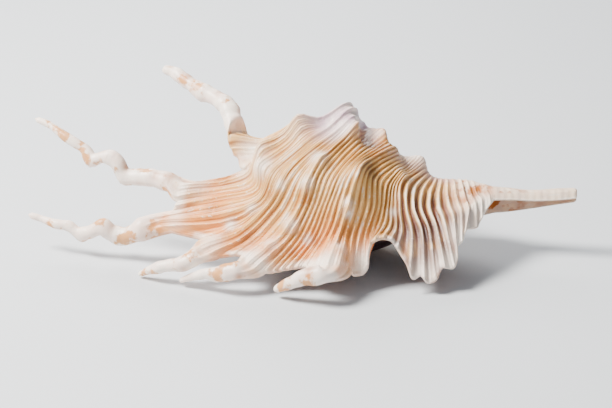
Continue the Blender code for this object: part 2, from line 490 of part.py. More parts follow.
def spire(xs, around):
    """The whorls behind the last one: rings round the axis from the apex to inside the body."""
    phi = np.arange(around) * 360 / around
    turn = np.radians(phi)
    rings = []
    marks = []
    for x in xs:
        far = x - APEX_X
        f = np.mod(np.log(far / KEEL_FROM_APEX) / math.log(WHORL_SHRINK) - (phi - 90) / 360, 1)
        bulge = .652 + .052 * np.cos(2 * math.pi * f) + .01 * np.cos(4 * math.pi * f)
        knobs = .05 * bell(np.minimum(f, 1 - f), 0, .09) * (1 + np.cos(turn * 8))
        # past the suture the surface tucks in under the last whorl
        suture = 19 * WHORL_SHRINK ** (np.mod(phi - 90, 360) / 360)
        q = far * (bulge + knobs) * (1 - .45 * np.clip((far - suture + 1.2) / 5, 0, 1))
        rings.append(np.stack([np.full(around, x), -q * np.cos(turn), AXIS_Z + q * np.sin(turn)], axis=1))
        marks.append(np.stack([f, np.full(around, far), np.full(around, -1), np.zeros(around)], axis=1))
    ends = np.array([[APEX_X - .2, 0, AXIS_Z], [xs[-1], 0, AXIS_Z]])
    k = len(xs)
    faces = []
    for j in range(around):
        j2 = (j + 1) % around
        for i in range(k - 1):
            faces.append((i * around + j, (i + 1) * around + j, (i + 1) * around + j2, i * around + j2))
        faces.append((k * around, j, j2))
        faces.append((k * around + 1, (k - 1) * around + j2, (k - 1) * around + j))
    end_marks = np.array([[.5, 0, -1, 0], [.5, xs[-1] - APEX_X, -1, 0]])
    return np.concatenate(rings + [ends]), faces, np.concatenate(marks + [end_marks])


def section_cords():
    """Cord numbers of the sections: every turn of the lip, and no step longer than LARGEST_STEP."""
    turns = [row[0] for row in LIP] + [42 + .5 * i for i in range(9)]
    n = []
    for a, b in zip(turns, turns[1:]):
        n += list(np.linspace(a, b, max(1, math.ceil((b - a) / LARGEST_STEP)), endpoint=False))
    return np.array(n + [LAST_CORD])


def add_mesh(name, points, faces, collection):
    mesh = bpy.data.meshes.new(name)
    mesh.from_pydata(((points + TO_ORIGIN) * MM).tolist(), [], faces)
    obj = bpy.data.objects.new(name, mesh)
    collection.objects.link(obj)
    return obj


def main():
    for obj in list(bpy.data.objects):
        bpy.data.objects.remove(obj)
    parts = bpy.data.collections.new(OBJECT)
    helpers = bpy.data.collections.new(OBJECT + "_helpers")
    for collection in (parts, helpers):
        bpy.context.scene.collection.children.link(collection)

    across = np.array(ACROSS_OUTSIDE), np.array(ACROSS_INSIDE)
    points, faces, _ = build(section_cords(), *across, DIGIT_RINGS, 1, 1)
    used = sorted({i for face in faces for i in face})
    number = {old: new for new, old in enumerate(used)}
    shell = add_mesh("shell", points[used], [[number[i] for i in face] for face in faces], parts)
    points, faces, _ = spire(np.linspace(APEX_X + .6, 0, SPIRE_RINGS), SPIRE_AROUND)
    whorls = add_mesh("spire", points, faces, helpers)
    whorls.hide_render = True
    whorls.display_type = "WIRE"
    join = shell.modifiers.new("spire", "BOOLEAN")
    join.operation = "UNION"
    join.solver = "EXACT"
    join.object = whorls

    material = bpy.data.materials.new("shell")
    material.use_nodes = True
    surface = material.node_tree.nodes["Principled BSDF"]
    surface.inputs["Base Color"].default_value = (.62, .42, .27, 1)
    surface.inputs["Roughness"].default_value = .5
    surface.inputs["Metallic"].default_value = 0
    shell.data.materials.append(material)


main()
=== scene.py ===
"""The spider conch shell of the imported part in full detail, on a pale floor in soft light.
Lengths below are in millimetres; the model is in metres."""

import math

import bpy
import numpy as np
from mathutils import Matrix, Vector


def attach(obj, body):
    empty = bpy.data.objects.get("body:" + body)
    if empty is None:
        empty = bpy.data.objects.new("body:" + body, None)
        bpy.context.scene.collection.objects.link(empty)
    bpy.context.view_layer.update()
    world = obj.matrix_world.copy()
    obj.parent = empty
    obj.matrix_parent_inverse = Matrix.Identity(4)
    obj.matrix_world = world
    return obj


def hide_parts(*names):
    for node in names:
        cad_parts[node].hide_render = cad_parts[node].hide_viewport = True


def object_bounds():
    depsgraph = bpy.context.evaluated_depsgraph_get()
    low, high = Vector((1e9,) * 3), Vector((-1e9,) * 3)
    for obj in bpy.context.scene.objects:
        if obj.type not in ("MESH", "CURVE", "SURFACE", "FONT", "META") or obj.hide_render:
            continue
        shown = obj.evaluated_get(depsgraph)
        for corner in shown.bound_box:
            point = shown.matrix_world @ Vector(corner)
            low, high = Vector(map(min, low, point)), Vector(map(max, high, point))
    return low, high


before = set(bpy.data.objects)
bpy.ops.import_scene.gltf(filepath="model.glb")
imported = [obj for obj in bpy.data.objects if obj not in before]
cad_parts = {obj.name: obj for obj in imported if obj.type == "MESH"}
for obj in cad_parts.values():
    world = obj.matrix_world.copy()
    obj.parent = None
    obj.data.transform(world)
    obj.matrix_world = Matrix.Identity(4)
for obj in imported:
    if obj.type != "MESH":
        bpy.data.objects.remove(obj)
first_bounds = [list(corner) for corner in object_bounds()]

MM = .001

# how finely the shell is built
SECTIONS = 440
ACROSS_OUTSIDE = np.concatenate([np.linspace(0, 3.45, 66), np.linspace(3.55, 10, 52)])
ACROSS_INSIDE = np.linspace(0, 1, 34)
DIGIT_RINGS = 60
END_RINGS = 3            # rows round the end of the hollow
RIM_ROWS = 3             # rows over the lip's rim
SPIRE_RINGS = 70
SPIRE_AROUND = 110

# cord numbers, and how many cords there are up to each: they stand closer from 18 to 30
CORD_COUNT = ([-3.5, 18, 24, 30, 46], [-3.5, 18, 27, 37, 53])

# The shell stands over the floor z = 0, mouth down. Cords, the raised spiral lines, run from the
# lip back over the crest and on round the axis. They are numbered from the shell's back end
# (-3.5) to the tip of its canal (46). "Across" is the place along a cord: 0 at the lip's edge,
# 1 on the wing, 2 on the flank, 3 on the crest, 7 under the belly and 10 inside the mouth.
AXIS_Z = 17.0            # height of the shell's axis, which runs along X
APEX_X = -22.0           # tip of the spire
WHORL_SHRINK = 1 / 1.8   # size of a whorl over the size of the next one
KEEL_FROM_APEX = 34.0    # from the apex to the last whorl's keel
FIRST_CORD = -3.5
LAST_CORD = 46.0
TO_ORIGIN = (1.52, 10.74, 0)   # brings the middle of the shell's footprint to the origin
BODY_END = 41.5          # the canal takes over after this cord
DRAWN_IN_FROM = 20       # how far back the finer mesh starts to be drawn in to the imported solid's depth

# cord, x, y, z of the lip's edge
LIP = [
    (-3.5, -16.5, 0, 19.5), (-2.6, -16, 2.5, 28), (-1.6, -16.4, 2.0, 33.6), (-.5, -18.3, 1.0, 34.4),
    (1, -20.4, -.5, 34.5), (2, -21.5, -2.0, 33.3), (2.7, -21.0, -3.5, 31.4), (3.2, -20, -4.5, 30.5),
    (3.5, -18.4, -6, 29.7), (3.8, -18, -8, 28), (4.2, -16.7, -9.5, 26.5), (4.6, -23.5, -9, 23.5),
    (5.1, -30, -8, 23.5), (6, -33.5, -8, 21.5), (6.9, -35, -10, 19.5), (8, -36, -12, 17.5),
    (9, -38, -12, 14.5), (10, -39.5, -12, 12), (11, -38.5, -14, 11), (12, -28, -19, 10.5),
    (13, -28.5, -22, 11), (14, -28, -25, 9.7), (15, -25.5, -27, 8.7), (16, -19.5, -28, 9.8),
    (17, -16, -30, 10), (18, -15, -32, 8), (19, -11.5, -33, 7), (21, -5.5, -33, 8), (23, 1.5, -34, 9),
    (24, 6, -37, 9.5), (25, 11, -36, 8.8), (25.6, 12.5, -34, 6.5), (26.4, 16, -32, 7.2),
    (27.2, 16.6, -30.5, 11.4), (27.8, 17.3, -29.5, 13.6), (28.4, 19.2, -29, 14.7), (29, 21.5, -28.7, 14.8),
    (29.6, 23.6, -29, 14), (30, 24.7, -29.5, 12.6), (30.4, 26, -31, 11), (30.8, 27.6, -33, 8.8),
    (31.2, 28.8, -34.7, 5.8), (31.7, 31, -34, 6.3), (32.4, 33, -35, 4.6), (33, 35, -34.5, 5.2),
    (33.6, 36.6, -33, 8), (34.2, 38, -33, 8.2), (34.9, 40, -31.8, 7.8), (35.5, 41, -29.5, 9.6),
    (36.1, 41, -27.5, 12), (36.8, 42.3, -25.5, 12.4), (37.5, 43.3, -23.7, 13.4), (38.2, 44, -21.8, 14.9),
    (39, 47.2, -18.5, 14), (39.7, 48.3, -16.4, 15), (40.4, 49.5, -14, 16.3), (41.5, 51.5, -9.6, 18),
]
# the cords at which the lip's line is read where a smooth one is needed
SMOOTH_LIP = (-3.5, -2.6, -1.6, -.5, 1, 2, 3.2, 4.2, 6, 10, 14, 18, 24, 28.4, 32.4, 36.1, 41.5)
WING = [
    (-3.5, -14, .8, 21), (-1, -11.5, 0, 31), (2, -13, -3, 33), (4.2, -14.5, -8.5, 29.5), (6, -23, -10, 23.5),
    (8, -23.5, -14, 21), (10, -22.5, -18, 17.5), (12, -19, -21, 15.5), (14, -18, -24, 14.5),
    (16, -14, -26, 13.5), (18, -7, -28, 14.5), (21, 1, -28.5, 14.5), (24, 9, -28.5, 16), (26, 15, -28, 14.5),
    (28, 21, -25, 17.5), (30, 26, -26, 15.5), (32, 31.5, -26, 15.5), (34, 35.5, -23, 16),
    (36, 40.5, -19.5, 17.5), (38, 45, -15, 18), (40, 49, -10, 18.5), (41.5, 51, -7, 18.5),
]
VALLEY = [
    (-3.5, -11.6, 1.6, 22.2), (-1, -9, 0, 32.2), (2, -10, -3, 34.3), (4.2, -13, -7.5, 32),
    (6, -15.5, -10.5, 27),
    (8, -14, -16, 24.5), (10, -12.5, -19.5, 22.5), (12, -11, -21, 22), (14, -10, -22, 22),
    (16, -7, -23.5, 21), (18, -2, -25, 21.5), (21, 5, -25, 23.5), (24, 11.5, -25, 24), (26, 17.5, -24, 22),
    (28, 22, -21.5, 21.5), (30, 25.5, -21.5, 21), (32, 29.5, -21, 20.5), (34, 34, -18, 19.3),
    (36, 39.8, -15, 18.6), (38, 44.6, -11.5, 18.6), (40, 48.5, -8, 18.7), (41.5, 50.6, -6.1, 18.7),
]
FLANK = [
    (-3.5, -9, 2, 23.7), (-1, -6, 0, 33.5), (2, -4.5, -2.5, 36.5), (4.2, -9.5, -5.5, 35), (6, -12, -8, 33.3),
    (8, -11, -12, 31), (10, -8.5, -16, 29.5), (12, -6.5, -17.5, 30), (14, -4, -18, 31), (16, -1, -19.5, 31),
    (18, 2, -20, 31), (21, 8.5, -20.5, 30.5), (24, 14, -20, 31), (26, 18.5, -19, 28.5), (28, 23, -17.5, 26),
    (30, 26, -16, 25.5), (32, 30, -15, 23.5), (34, 34.5, -13, 21.5), (36, 39.5, -10.5, 20),
    (38, 44.3, -8, 19.3), (40, 48, -6, 19), (41.5, 50, -5, 19),
]
CREST = [
    (-3.5, -3, 0, 29.5), (0, 2, 0, 35), (2.5, 6.5, 0, 38.7), (5, 11, 0, 41), (7.5, 13.9, 0, 39.8),
    (10, 16.2, 0, 38.2), (14, 19, 0, 36.4), (18, 22.5, 0, 33.8), (21, 24.5, 0, 32), (24, 26.5, 0, 30),
    (28, 30.5, 0, 26), (31, 33.5, 0, 23.2), (34, 37, 0, 21.2), (36, 40, 0, 20.8), (38, 43.8, -.5, 20.8),
    (40, 47.3, -1.5, 20.7), (41.5, 50, -3, 20.3),
]
# cord, how far the belly stands from the axis
BELLY = [
    (-3.5, 9.3), (0, 14.4), (3, 17.4), (5, 18.4), (7.5, 18.6), (10, 18.6), (14, 18.4), (18, 17.7),
    (21, 16.8), (24, 15.8), (28, 14.2), (31, 12.5), (34, 10.3), (38, 7.5), (41.5, 5.4),
]
# cords, and the row of CREST that each crosses at: they bunch under the highest knob
BUNCHED = ([-3.5, 5.5, 8, 12, 18, 21, 24, 26, 46], [-3.5, 5.5, 6.3, 7.8, 11.5, 16.5, 23, 26, 46])
# cords, and how far in the hollow reaches at each
DEEP = ([-3.5, -1, 2, 4.2, 8, 34, 37, 41, 43, 46], [.3, .5, .7, .8, 2.2, 2.5, 2.1, 2.1, 2.6, 2.6])
# cords, and how thick the wall is at each over its full thickness
WALL = ([-3.5, 0, 4, 26, 31, 38, 41, 42.5, 46], [.7, .8, 1, 1, .7, .7, .6, .5, .42])
MEAN_OVER = 1.2          # cords to each side over which the wall's direction is a mean
# the place across of each of the curves that a cord is drawn through
PLACES = np.array([0, 1, 1.5, 2, 3, 4, 5, 6, 7, 8, 9, 10])
# canal: cord, x, y and z of its middle, radius
CANAL = [
    (42.2, 53, -4.5, 16.2, 3.9), (43, 57.5, -5, 16.4, 3.5), (44, 63.5, -6, 17, 2.7),
    (45, 69.5, -7, 18.1, 2.4), (46, 75, -7.7, 18.9, 2.1),
]
# Digits, the long spines of the lip: the cords each one takes in, how far out its root turns
# round, how soon the root turns to the digit's own way, its heels (x, y, z, the way each points,
# height, spread) and its line (x, y, z, radius).
DIGITS = [
    ((-1.8, 3.3), 5, .75,
     [(-29, 11.5, 42.3, -.6, 0, -.8, .8, 3), (-21.5, 3.5, 38.8, .9, 0, .4, .7, 2.2),
      (-34, 15.5, 44, .2, 0, -1, .6, 2.2), (-38, 19, 45.4, .4, 0, 1, .4, 2)],
     [(-19.8, 0, 35.6, 2.9), (-21.1, 2.5, 37.8, 2.6), (-22.2, 5, 39.9, 2.5), (-25.7, 9, 41.5, 2.4),
      (-30.9, 13, 43, 2.2), (-35.4, 17, 44.7, 1.9), (-39, 20, 45.9, 1.6), (-41.4, 21.5, 46.2, 1.4)]),
    ((4.9, 7.6), 7, .15,
     [(-51, -2, 22.5, -.3, 0, -1, 1.2, 2.4), (-55, -.5, 26.7, .3, 0, 1, .9, 2.2),
      (-61, 1, 26, -.4, 0, -1, 1.1, 2), (-66.5, 4, 30, .2, 0, 1, .5, 2), (-43.5, -5, 22, 0, 0, 1, .6, 2.2)],
     [(-37, -7, 21.5, 2.8), (-42, -5, 22, 2.5), (-47.5, -3, 22, 2.2), (-51, -2, 22.3, 2.1),
      (-53.5, -1, 25.6, 1.9), (-57, 0, 26.8, 1.8), (-60.5, 1, 25.9, 1.6), (-63, 3, 28.3, 1.5),
      (-66.5, 4, 30, 1.3), (-70, 6, 32, 1.2), (-73, 8, 33.5, 1.0), (-77.5, 10, 34.8, .8)]),
    ((8.6, 11.2), 8, .15,
     [(-44.5, -12, 10.5, 0, 0, 1, 1.4, 2.4), (-57, -10, 9, 0, 0, 1, 1.3, 2),
      (-52, -11, 7.2, 0, 0, -1, 1.0, 2.5), (-63.5, -8, 7, 0, 0, -1, 1.0, 1.8),
      (-67, -7, 8.5, 0, 0, 1, .6, 1.6)],
     [(-44, -12, 10.2, 3.0), (-47, -12, 9, 2.7), (-50.5, -11, 7.5, 2.3), (-54, -10, 7.5, 2.1),
      (-57.5, -10, 9, 2.0), (-61.5, -9, 7.5, 1.7), (-64, -8, 7, 1.5), (-67, -7, 8.3, 1.4),
      (-71.5, -6, 9, 1.2), (-75, -4, 9.5, 1.0), (-79, -3, 10.5, .8)]),
    ((12.5, 15.3), 5.5, .15,
     [(-34.5, -28, 5.5, 0, -.5, 1, .6, 1.8), (-39.5, -28, 4.3, 0, -.5, 1, .5, 1.6)],
     [(-31.1, -27.9, 7.6, 2.4), (-34.1, -28.3, 6.1, 1.9), (-37.2, -27.2, 5.4, 1.8),
      (-40.3, -26.3, 4.3, 1.6), (-43.2, -25.0, 2.9, 1.15), (-46.2, -23.2, .8, .78)]),
    ((16.6, 19.2), 5.5, .15,
     [(-20.5, -33.5, 5.8, 0, -.4, -1, .8, 2), (-27, -33, 5.2, 0, -.5, 1, .6, 1.7),
      (-24, -33, 5, 0, 0, -1, .7, 1.8)],
     [(-17.5, -34, 7.4, 2.4), (-21, -34, 6.7, 2.0), (-24.3, -33, 5.5, 1.85), (-27.7, -31.8, 4.8, 1.35),
      (-31, -30.4, 3.4, 1.05), (-34.5, -29.3, 1.7, .78)]),
    ((22.7, 25.3), 5.5, .15,
     [(3.5, -40, 7.5, 0, -.6, -1, .7, 2), (-1, -40.3, 6.8, 0, -.4, 1, .7, 1.8)],
     [(4, -40.7, 9, 2.4), (.4, -40, 7.7, 2.1), (-1.6, -39.5, 6.8, 2.0), (-4.3, -38.6, 5.2, 1.6),
      (-8.6, -36.4, 2.2, .88)]),
]
# The eight curves from the crest round under the shell: how much each follows BELLY, how much fuller
# the belly makes it and how much slimmer it is at the back end.
FOLLOWS_BELLY = (0, 0, .15, .6, 1, .65, .25, 0)
FULLER = (0, 1.2, 1.6, 1.0, 0, 0, 0, 0)
SLIMMER = (0, .8, 1.2, .9, .5, .9, .7, .4)
# the belly leans towards the mouth, so that it shows through the notch: curve, shift
BELLY_LEAN = ((7, (0, -1.5, 0)), (8, (0, -4.0, 0)), (9, (0, -3.2, -3.0)), (10, (0, -1.5, -1.5)))
# where each curve goes round the canal, in degrees, the outside of its wall first
CANAL_DEGREES = (25, 50, 60, 70, 90, 135, 180, 225, 275, 225, 180, 125)
CANAL_OUTSIDE = 9        # how many of those curves are on the canal's outside
CANAL_WALL = 1.35
TIP_TURNED = {0: -25, 8: 30}   # how far round the tip's curves lie from those degrees
# a cord's height: by the place across, and a factor by cord
CORD_HEIGHT = ([0, 1, 2, 3, 4, 5, 6, 6.8, 10], [.5, .55, .5, .4, .35, .32, .25, 0, 0])
CORD_FACTOR = ([-3.5, 1, 3, 26, 32, 38, 41], [.4, .5, .7, .8, 1.1, 1, .9])
# the ribs that run down to the digits: the cord each is at, how many cords wide its root swells
RIBS = ((2, 1.5), (6, 1.3), (10, 1.3), (14, 1.2), (18, 1.2), (24, 1.2))
RIB_HEIGHT = ([0, 2, 3, 4, 6], [.6, .8, .5, .3, 0])
ROOT_HEIGHT = 1.9
NOTCH_CORD = 28.6
# the wall's full thickness by the place across
THICKNESS = ([0, .12, .4, 1, 2, 2.6], [1.3, 1.8, 2.2, 2.6, 2.6, 2.6])
# the places across at which the caps of the two ends are laced
FRONT_LACED_AT = 7.3
BACK_LACED_AT = 5.5
BLUNT_TIP = ((.93, .5), (.75, .9))   # the canal's tip: each ring's size, how far ahead it is
DEEPEST_MARK = 2.5       # the place across that the hollow's end is marked with
DIGIT_END = 1.2          # a digit's last stretch, which rounds off
# Spire: a whorl's radius over its distance from the apex, how much it swells once and twice from one
# suture to the next, its knobs, and how far from the apex the last whorl starts to cover it.
SPIRE_WIDTH = .652
SPIRE_SWELL = (.052, .01)
SPIRE_KNOB = .05
SPIRE_KNOBS = 8
SUTURE = 19

# knobs and hollows on the whorl: cord, across, height, reach along the axis, reach across it
KNOBS = [
    (5.8, 2.45, 4.4, 3.6, 4.5), (5.6, 2.9, 3.2, 4.6, 6), (18.7, 3, -3.8, 2.4, 7), (21.1, 3, 2.2, 2.6, 4),
    (22.6, 3, -3.6, 2, 6), (23.7, 2.82, 2.6, 2.8, 4), (25.8, 3, -1.8, 2, 6), (28.8, 3.2, 3, 3, 4),
    (18, 2.68, 3, 2.6, 2.8), (19.6, 2.75, -2, 2.2, 3), (18, 2.15, 1.6, 2.2, 2.4),
    (18, 1.82, 1.1, 1.8, 2), (18.2, 1.2, 1.2, 1.8, 1.8), (18, .65, .9, 1.8, 1.8), (8, 1.86, 1.7, 2.6, 3),
    (6, 2, 1.2, 2.2, 3), (24, 1.9, 2, 2.2, 3.2), (24, 1.43, 1.2, 1.8, 1.8), (24.3, .46, 1, 1.8, 1.8),
    (25.4, 2.25, -1.8, 2.6, 4), (30, 1.6, .8, 1.5, 3), (29, 2.3, 1.2, 2, 3), (11, 1.3, 1, 1.8, 1.8),
    (12, .8, .8, 1.8, 1.8), (5, 4.1, 2.6, 3.4, 3.4), (5, 5.1, 2, 2.8, 2.8), (5, 6, 1.2, 2.4, 2.4),
    (16, 4.2, 2.2, 2.3, 2.3), (23, 4.3, 1.8, 2.1, 2.1), (16, 5.3, 1.4, 1.9, 1.9), (30, 4.8, 1.2, 1.9, 1.9),
]


def natural_spline(table, at):
    """The smoothest curve through a table of (parameter, values...), read at the parameters at."""
    t = np.array([r[0] for r in table], float)
    v = np.array([r[1:] for r in table], float)
    h = np.diff(t)
    bend = np.eye(len(t))
    pull = np.zeros_like(v)
    for i in range(1, len(t) - 1):
        bend[i, i - 1:i + 2] = h[i - 1], 2 * (h[i - 1] + h[i]), h[i]
        pull[i] = 6 * ((v[i + 1] - v[i]) / h[i] - (v[i] - v[i - 1]) / h[i - 1])
    m = np.linalg.solve(bend, pull)
    k = np.clip(np.searchsorted(t, at) - 1, 0, len(t) - 2)
    u = (at - t[k])[:, None]
    w = (t[k + 1] - at)[:, None]
    step = h[k][:, None]
    curved = (m[k] * w**3 + m[k + 1] * u**3) / (6 * step)
    return curved + (v[k] / step - m[k] * step / 6) * w + (v[k + 1] / step - m[k + 1] * step / 6) * u


def hermite(u, a, b, da, db):
    """The cubic from a to b, as u goes from 0 to 1, with slopes da and db."""
    return ((1 + 2 * u) * (1 - u) ** 2 * a + u * (1 - u) ** 2 * da
            + u**2 * (3 - 2 * u) * b + u**2 * (u - 1) * db)


def slopes(h, v):
    """A slope at each of the points v (first axis), which are h apart, from its two neighbours."""
    d = np.diff(v, axis=0) / h
    return np.concatenate([d[:1], (d[:-1] * h[1:] + d[1:] * h[:-1]) / (h[:-1] + h[1:]), d[-1:]])


def local_spline(table, at):
    """A curve through a table that keeps a sharp turn local."""
    t = np.array([r[0] for r in table], float)
    v = np.array([r[1:] for r in table], float)
    h = np.diff(t)[:, None]
    m = slopes(h, v)
    k = np.clip(np.searchsorted(t, at) - 1, 0, len(t) - 2)
    u = (at - t[k])[:, None] / h[k]
    return hermite(u, v[k], v[k + 1], h[k] * m[k], h[k] * m[k + 1])


def smoothstep(a, b, x):
    u = np.clip((x - a) / (b - a), 0, 1)
    return u * u * (3 - 2 * u)


def bell(x, middle, width):
    return np.exp(-((x - middle) / width) ** 2)


def unit(v):
    return v / np.maximum(np.linalg.norm(v, axis=-1, keepdims=True), 1e-9)


def control_points(n, smooth_lip=False):
    """(cords, 12, 3): lip, wing, valley, flank, crest, then seven more an eighth of a turn apart."""
    nb = np.minimum(n, BODY_END)
    lip = [r for r in LIP if r[0] in SMOOTH_LIP] if smooth_lip else LIP
    pts = np.zeros((len(n), len(PLACES), 3))
    pts[:, 0] = local_spline(lip, nb)
    pts[:, 1] = natural_spline(WING, nb)
    pts[:, 2] = natural_spline(VALLEY, nb)
    pts[:, 3] = natural_spline(FLANK, nb)
    crest = natural_spline(CREST, nb)
    pts[:, 4] = natural_spline(CREST, np.interp(nb, *BUNCHED))
    r = crest[:, 2] - AXIS_Z
    drift = np.clip((42 - nb) / 34, 0, 1)
    belly = bell(nb, 16, 9)
    low = natural_spline(BELLY, nb)[:, 0] / (r * WHORL_SHRINK ** .5)
    keel = bell(nb, 4.5, 2.4)
    for j in range(1, 8):
        k = WHORL_SHRINK ** (j / 8)
        angle = math.radians(90 + 45 * j)
        rr = r * (1 - (1 - k) * smoothstep(42, 34, nb))
        rr = rr * (1 + FOLLOWS_BELLY[j] * (low - 1))
        rr = rr + FULLER[j] * belly - SLIMMER[j] * keel
        pts[:, 4 + j, 0] = APEX_X + (crest[:, 0] - APEX_X) * (1 - (1 - k) * drift)
        pts[:, 4 + j, 1] = crest[:, 1] - rr * math.cos(angle)
        pts[:, 4 + j, 2] = AXIS_Z + rr * math.sin(angle)
    lean = np.exp(-np.abs((nb - 24) / 9) ** 3)[:, None]
    for j, shift in BELLY_LEAN:
        pts[:, j] += lean * np.array(shift)
    middle = natural_spline(CANAL, np.maximum(n, CANAL[0][0]))
    tip = smoothstep(43, 45.5, n)
    canal = np.zeros_like(pts)
    for j, degrees in enumerate(CANAL_DEGREES):
        angle = np.radians(degrees + TIP_TURNED.get(j, 0) * tip)
        rad = middle[:, 3]
        if j >= CANAL_OUTSIDE:
            rad = np.maximum(rad - CANAL_WALL, .45 * rad)
        canal[:, j, 0] = middle[:, 0]
        canal[:, j, 1] = middle[:, 1] - rad * np.cos(angle)
        canal[:, j, 2] = middle[:, 2] + rad * np.sin(angle)
    w = np.repeat(smoothstep(40.0, 42.2, n)[:, None], len(PLACES), 1)
    w[:, 8:] = smoothstep(34.0, 42.2, n)[:, None]
    return pts * (1 - w[:, :, None]) + canal * w[:, :, None]


def along(ctrl, c):
    """The points at the places c, (cords, places), on a curve through each row of ctrl."""
    h = np.maximum(np.linalg.norm(np.diff(ctrl, axis=1), axis=2) ** .5, 1e-3)[:, :, None]
    m = slopes(h.swapaxes(0, 1), ctrl.swapaxes(0, 1)).swapaxes(0, 1)
    k = np.clip(np.searchsorted(PLACES, c, side="right") - 1, 0, len(PLACES) - 2)
    row = np.arange(len(ctrl))[:, None]
    step = h[row, k]
    u = ((c - PLACES[k]) / (PLACES[k + 1] - PLACES[k]))[:, :, None]
    return hermite(u, ctrl[row, k], ctrl[row, k + 1], step * m[row, k], step * m[row, k + 1])


def tangents(n, c):
    """How the plain surface moves with the cord number, and the way each cord runs."""
    e = .02
    ahead = along(control_points(np.minimum(n + e, LAST_CORD), True), c)
    behind = along(control_points(np.maximum(n - e, FIRST_CORD), True), c)
    ctrl = control_points(n, True)
    dc = along(ctrl, np.minimum(c + e, 10)) - along(ctrl, np.maximum(c - e, 0))
    return (ahead - behind) / (2 * e), unit(dc)


def outward(n, c):
    return unit(np.cross(*tangents(n, c)))


def cord_spacing(n, c):
    """Millimetres from one cord to the next, measured square to the cord."""
    dn, dc = tangents(n, c)
    return np.linalg.norm(dn - dc * np.sum(dn * dc, axis=2, keepdims=True), axis=2)


def relief(n, c, base, nrm):
    """How far the cords, the ribs, the digits' roots and the knobs move each point of the surface."""
    n_column = n[:, None]
    count = np.interp(n_column, *CORD_COUNT)
    which = np.round(count)
    strength = .85 + .3 * np.sin(which * 2.4) * np.sin(which * .7 + 1) + .12 * np.sin(c * 9 + which * 2.1)
    cord = np.interp(c, *CORD_HEIGHT)
    cord = np.minimum(cord, .22 * cord_spacing(n, c)) * (1 - smoothstep(40, 42, n_column))
    cord = cord * np.interp(n_column, *CORD_FACTOR)
    # the cords fade over the crest and its knobs
    top = smoothstep(2.2, 2.6, c - .35 * smoothstep(12, 19, n_column)) * smoothstep(4.4, 3.6, c)
    cord = cord * (1 - (.65 + .3 * smoothstep(30, 18, n_column)) * top)
    groove = 1 - np.abs(2 * np.mod(count, 1) - 1) ** 2.2      # 0 on a cord, 1 half way to the next
    up = cord * strength * (1 - 2 * groove)
    for rib, width in RIBS:
        up = up + bell(n_column, rib, .8) * np.interp(c, *RIB_HEIGHT)
        up = up + bell(n_column, rib + .3, width) * ROOT_HEIGHT * smoothstep(1.1, 0, c)
    # the notch's edge turns out
    up = up + bell(n_column, NOTCH_CORD, 1.5) * 1.1 * smoothstep(.5, 0, c)
    move = nrm * up[:, :, None]
    for cord_no, place, height, reach, reach_across in KNOBS:
        at_n, at_c = np.array([float(cord_no)]), np.array([[float(place)]])
        middle = along(control_points(at_n), at_c)[0, 0]
        way = outward(at_n, at_c)[0, 0]
        away = (base - middle) / np.array([reach, reach_across, reach_across])
        near = np.exp(-np.sum(away ** 2, axis=2)) * np.clip(nrm @ way + .3, 0, 1)
        move = move + height * near[:, :, None] * way
    return move


def wall(n, c):
    """The shell's thickness."""
    return np.interp(c, *THICKNESS) * np.interp(n, *WALL)[:, None]


def settle(p):
    """Presses what reaches under the floor into one flat patch, softly."""
    z = p[:, 2]
    soft = 1.2
    p[:, 2] = np.where(z < 0, 0, np.where(z < soft, z * z / (2 * soft), z - soft / 2))
    return p


def shell_rings(n, c_out, c_in, ends, rims):
    """A closed ring of points at each cord number: over the outside from the lip to the core,
    round the end of the hollow, back along the inside and over the lip's rim."""
    ctrl = control_points(n)
    c = np.tile(c_out, (len(n), 1))
    base = along(ctrl, c)
    nrm = outward(n, c)
    outer = base + relief(n, c, base, nrm)
    deep = np.interp(n, *DEEP)
    c = c_in[None, :] * deep[:, None]
    plain = along(ctrl, c)
    nrm = outward(n, c)
    # the wall's own direction is a mean over a few cords, so that it doesn't fold at the lip
    before = outward(np.maximum(n - MEAN_OVER, FIRST_CORD), c)
    after = outward(np.minimum(n + MEAN_OVER, LAST_CORD), c)
    move = relief(n, c, plain, nrm)
    follow = move * .5 * smoothstep(1.2, 0, c)[:, :, None]
    # under a hollow of the outside the wall gives way too
    follow = follow + nrm * np.minimum(np.sum(move * nrm, axis=2, keepdims=True) + .6, 0)
    inner = plain + follow - unit(nrm + before + after) * wall(n, c)[:, :, None]
    gap = np.minimum(np.linalg.norm(inner[:, -1] - outer[:, -1], axis=1, keepdims=True), 4) * .6
    into = unit(outer[:, -1] - outer[:, -2]) * gap
    back = unit(inner[:, -2] - inner[:, -1]) * gap
    end = [hermite(e / (ends + 1), outer[:, -1], inner[:, -1], into, back) for e in range(1, ends + 1)]
    inner = inner[:, ::-1]
    # the rim bulges past the edge, square to the edge and to the wall
    thick = inner[:, -1] - outer[:, 0]
    bulge = unit(np.cross(thick, np.gradient(outer[:, 0], axis=0)))
    bulge = bulge * np.linalg.norm(thick, axis=1, keepdims=True) * .45
    turns = [math.pi * e / (rims + 1) for e in range(1, rims + 1)]
    rim = [inner[:, -1] - thick * (1 - math.cos(a)) / 2 + bulge * math.sin(a) for a in turns]
    return np.concatenate([outer, np.stack(end, axis=1), inner, np.stack(rim, axis=1)], axis=1), outer


def zip_cap(a, b, points):
    """Triangles between two chains of point numbers that start and end together."""
    tris = []
    i = j = 0
    while i < len(a) - 1 or j < len(b) - 1:
        ahead = i < len(a) - 1
        if ahead and j < len(b) - 1:
            by_a = np.linalg.norm(points[a[i + 1]] - points[b[j]])
            by_b = np.linalg.norm(points[a[i]] - points[b[j + 1]])
            ahead = by_a <= by_b
        if ahead:
            tris.append((a[i], a[i + 1], b[j]))
            i += 1
        else:
            tris.append((a[i], b[j + 1], b[j]))
            j += 1
    return [t for t in tris if len(set(t)) == 3]


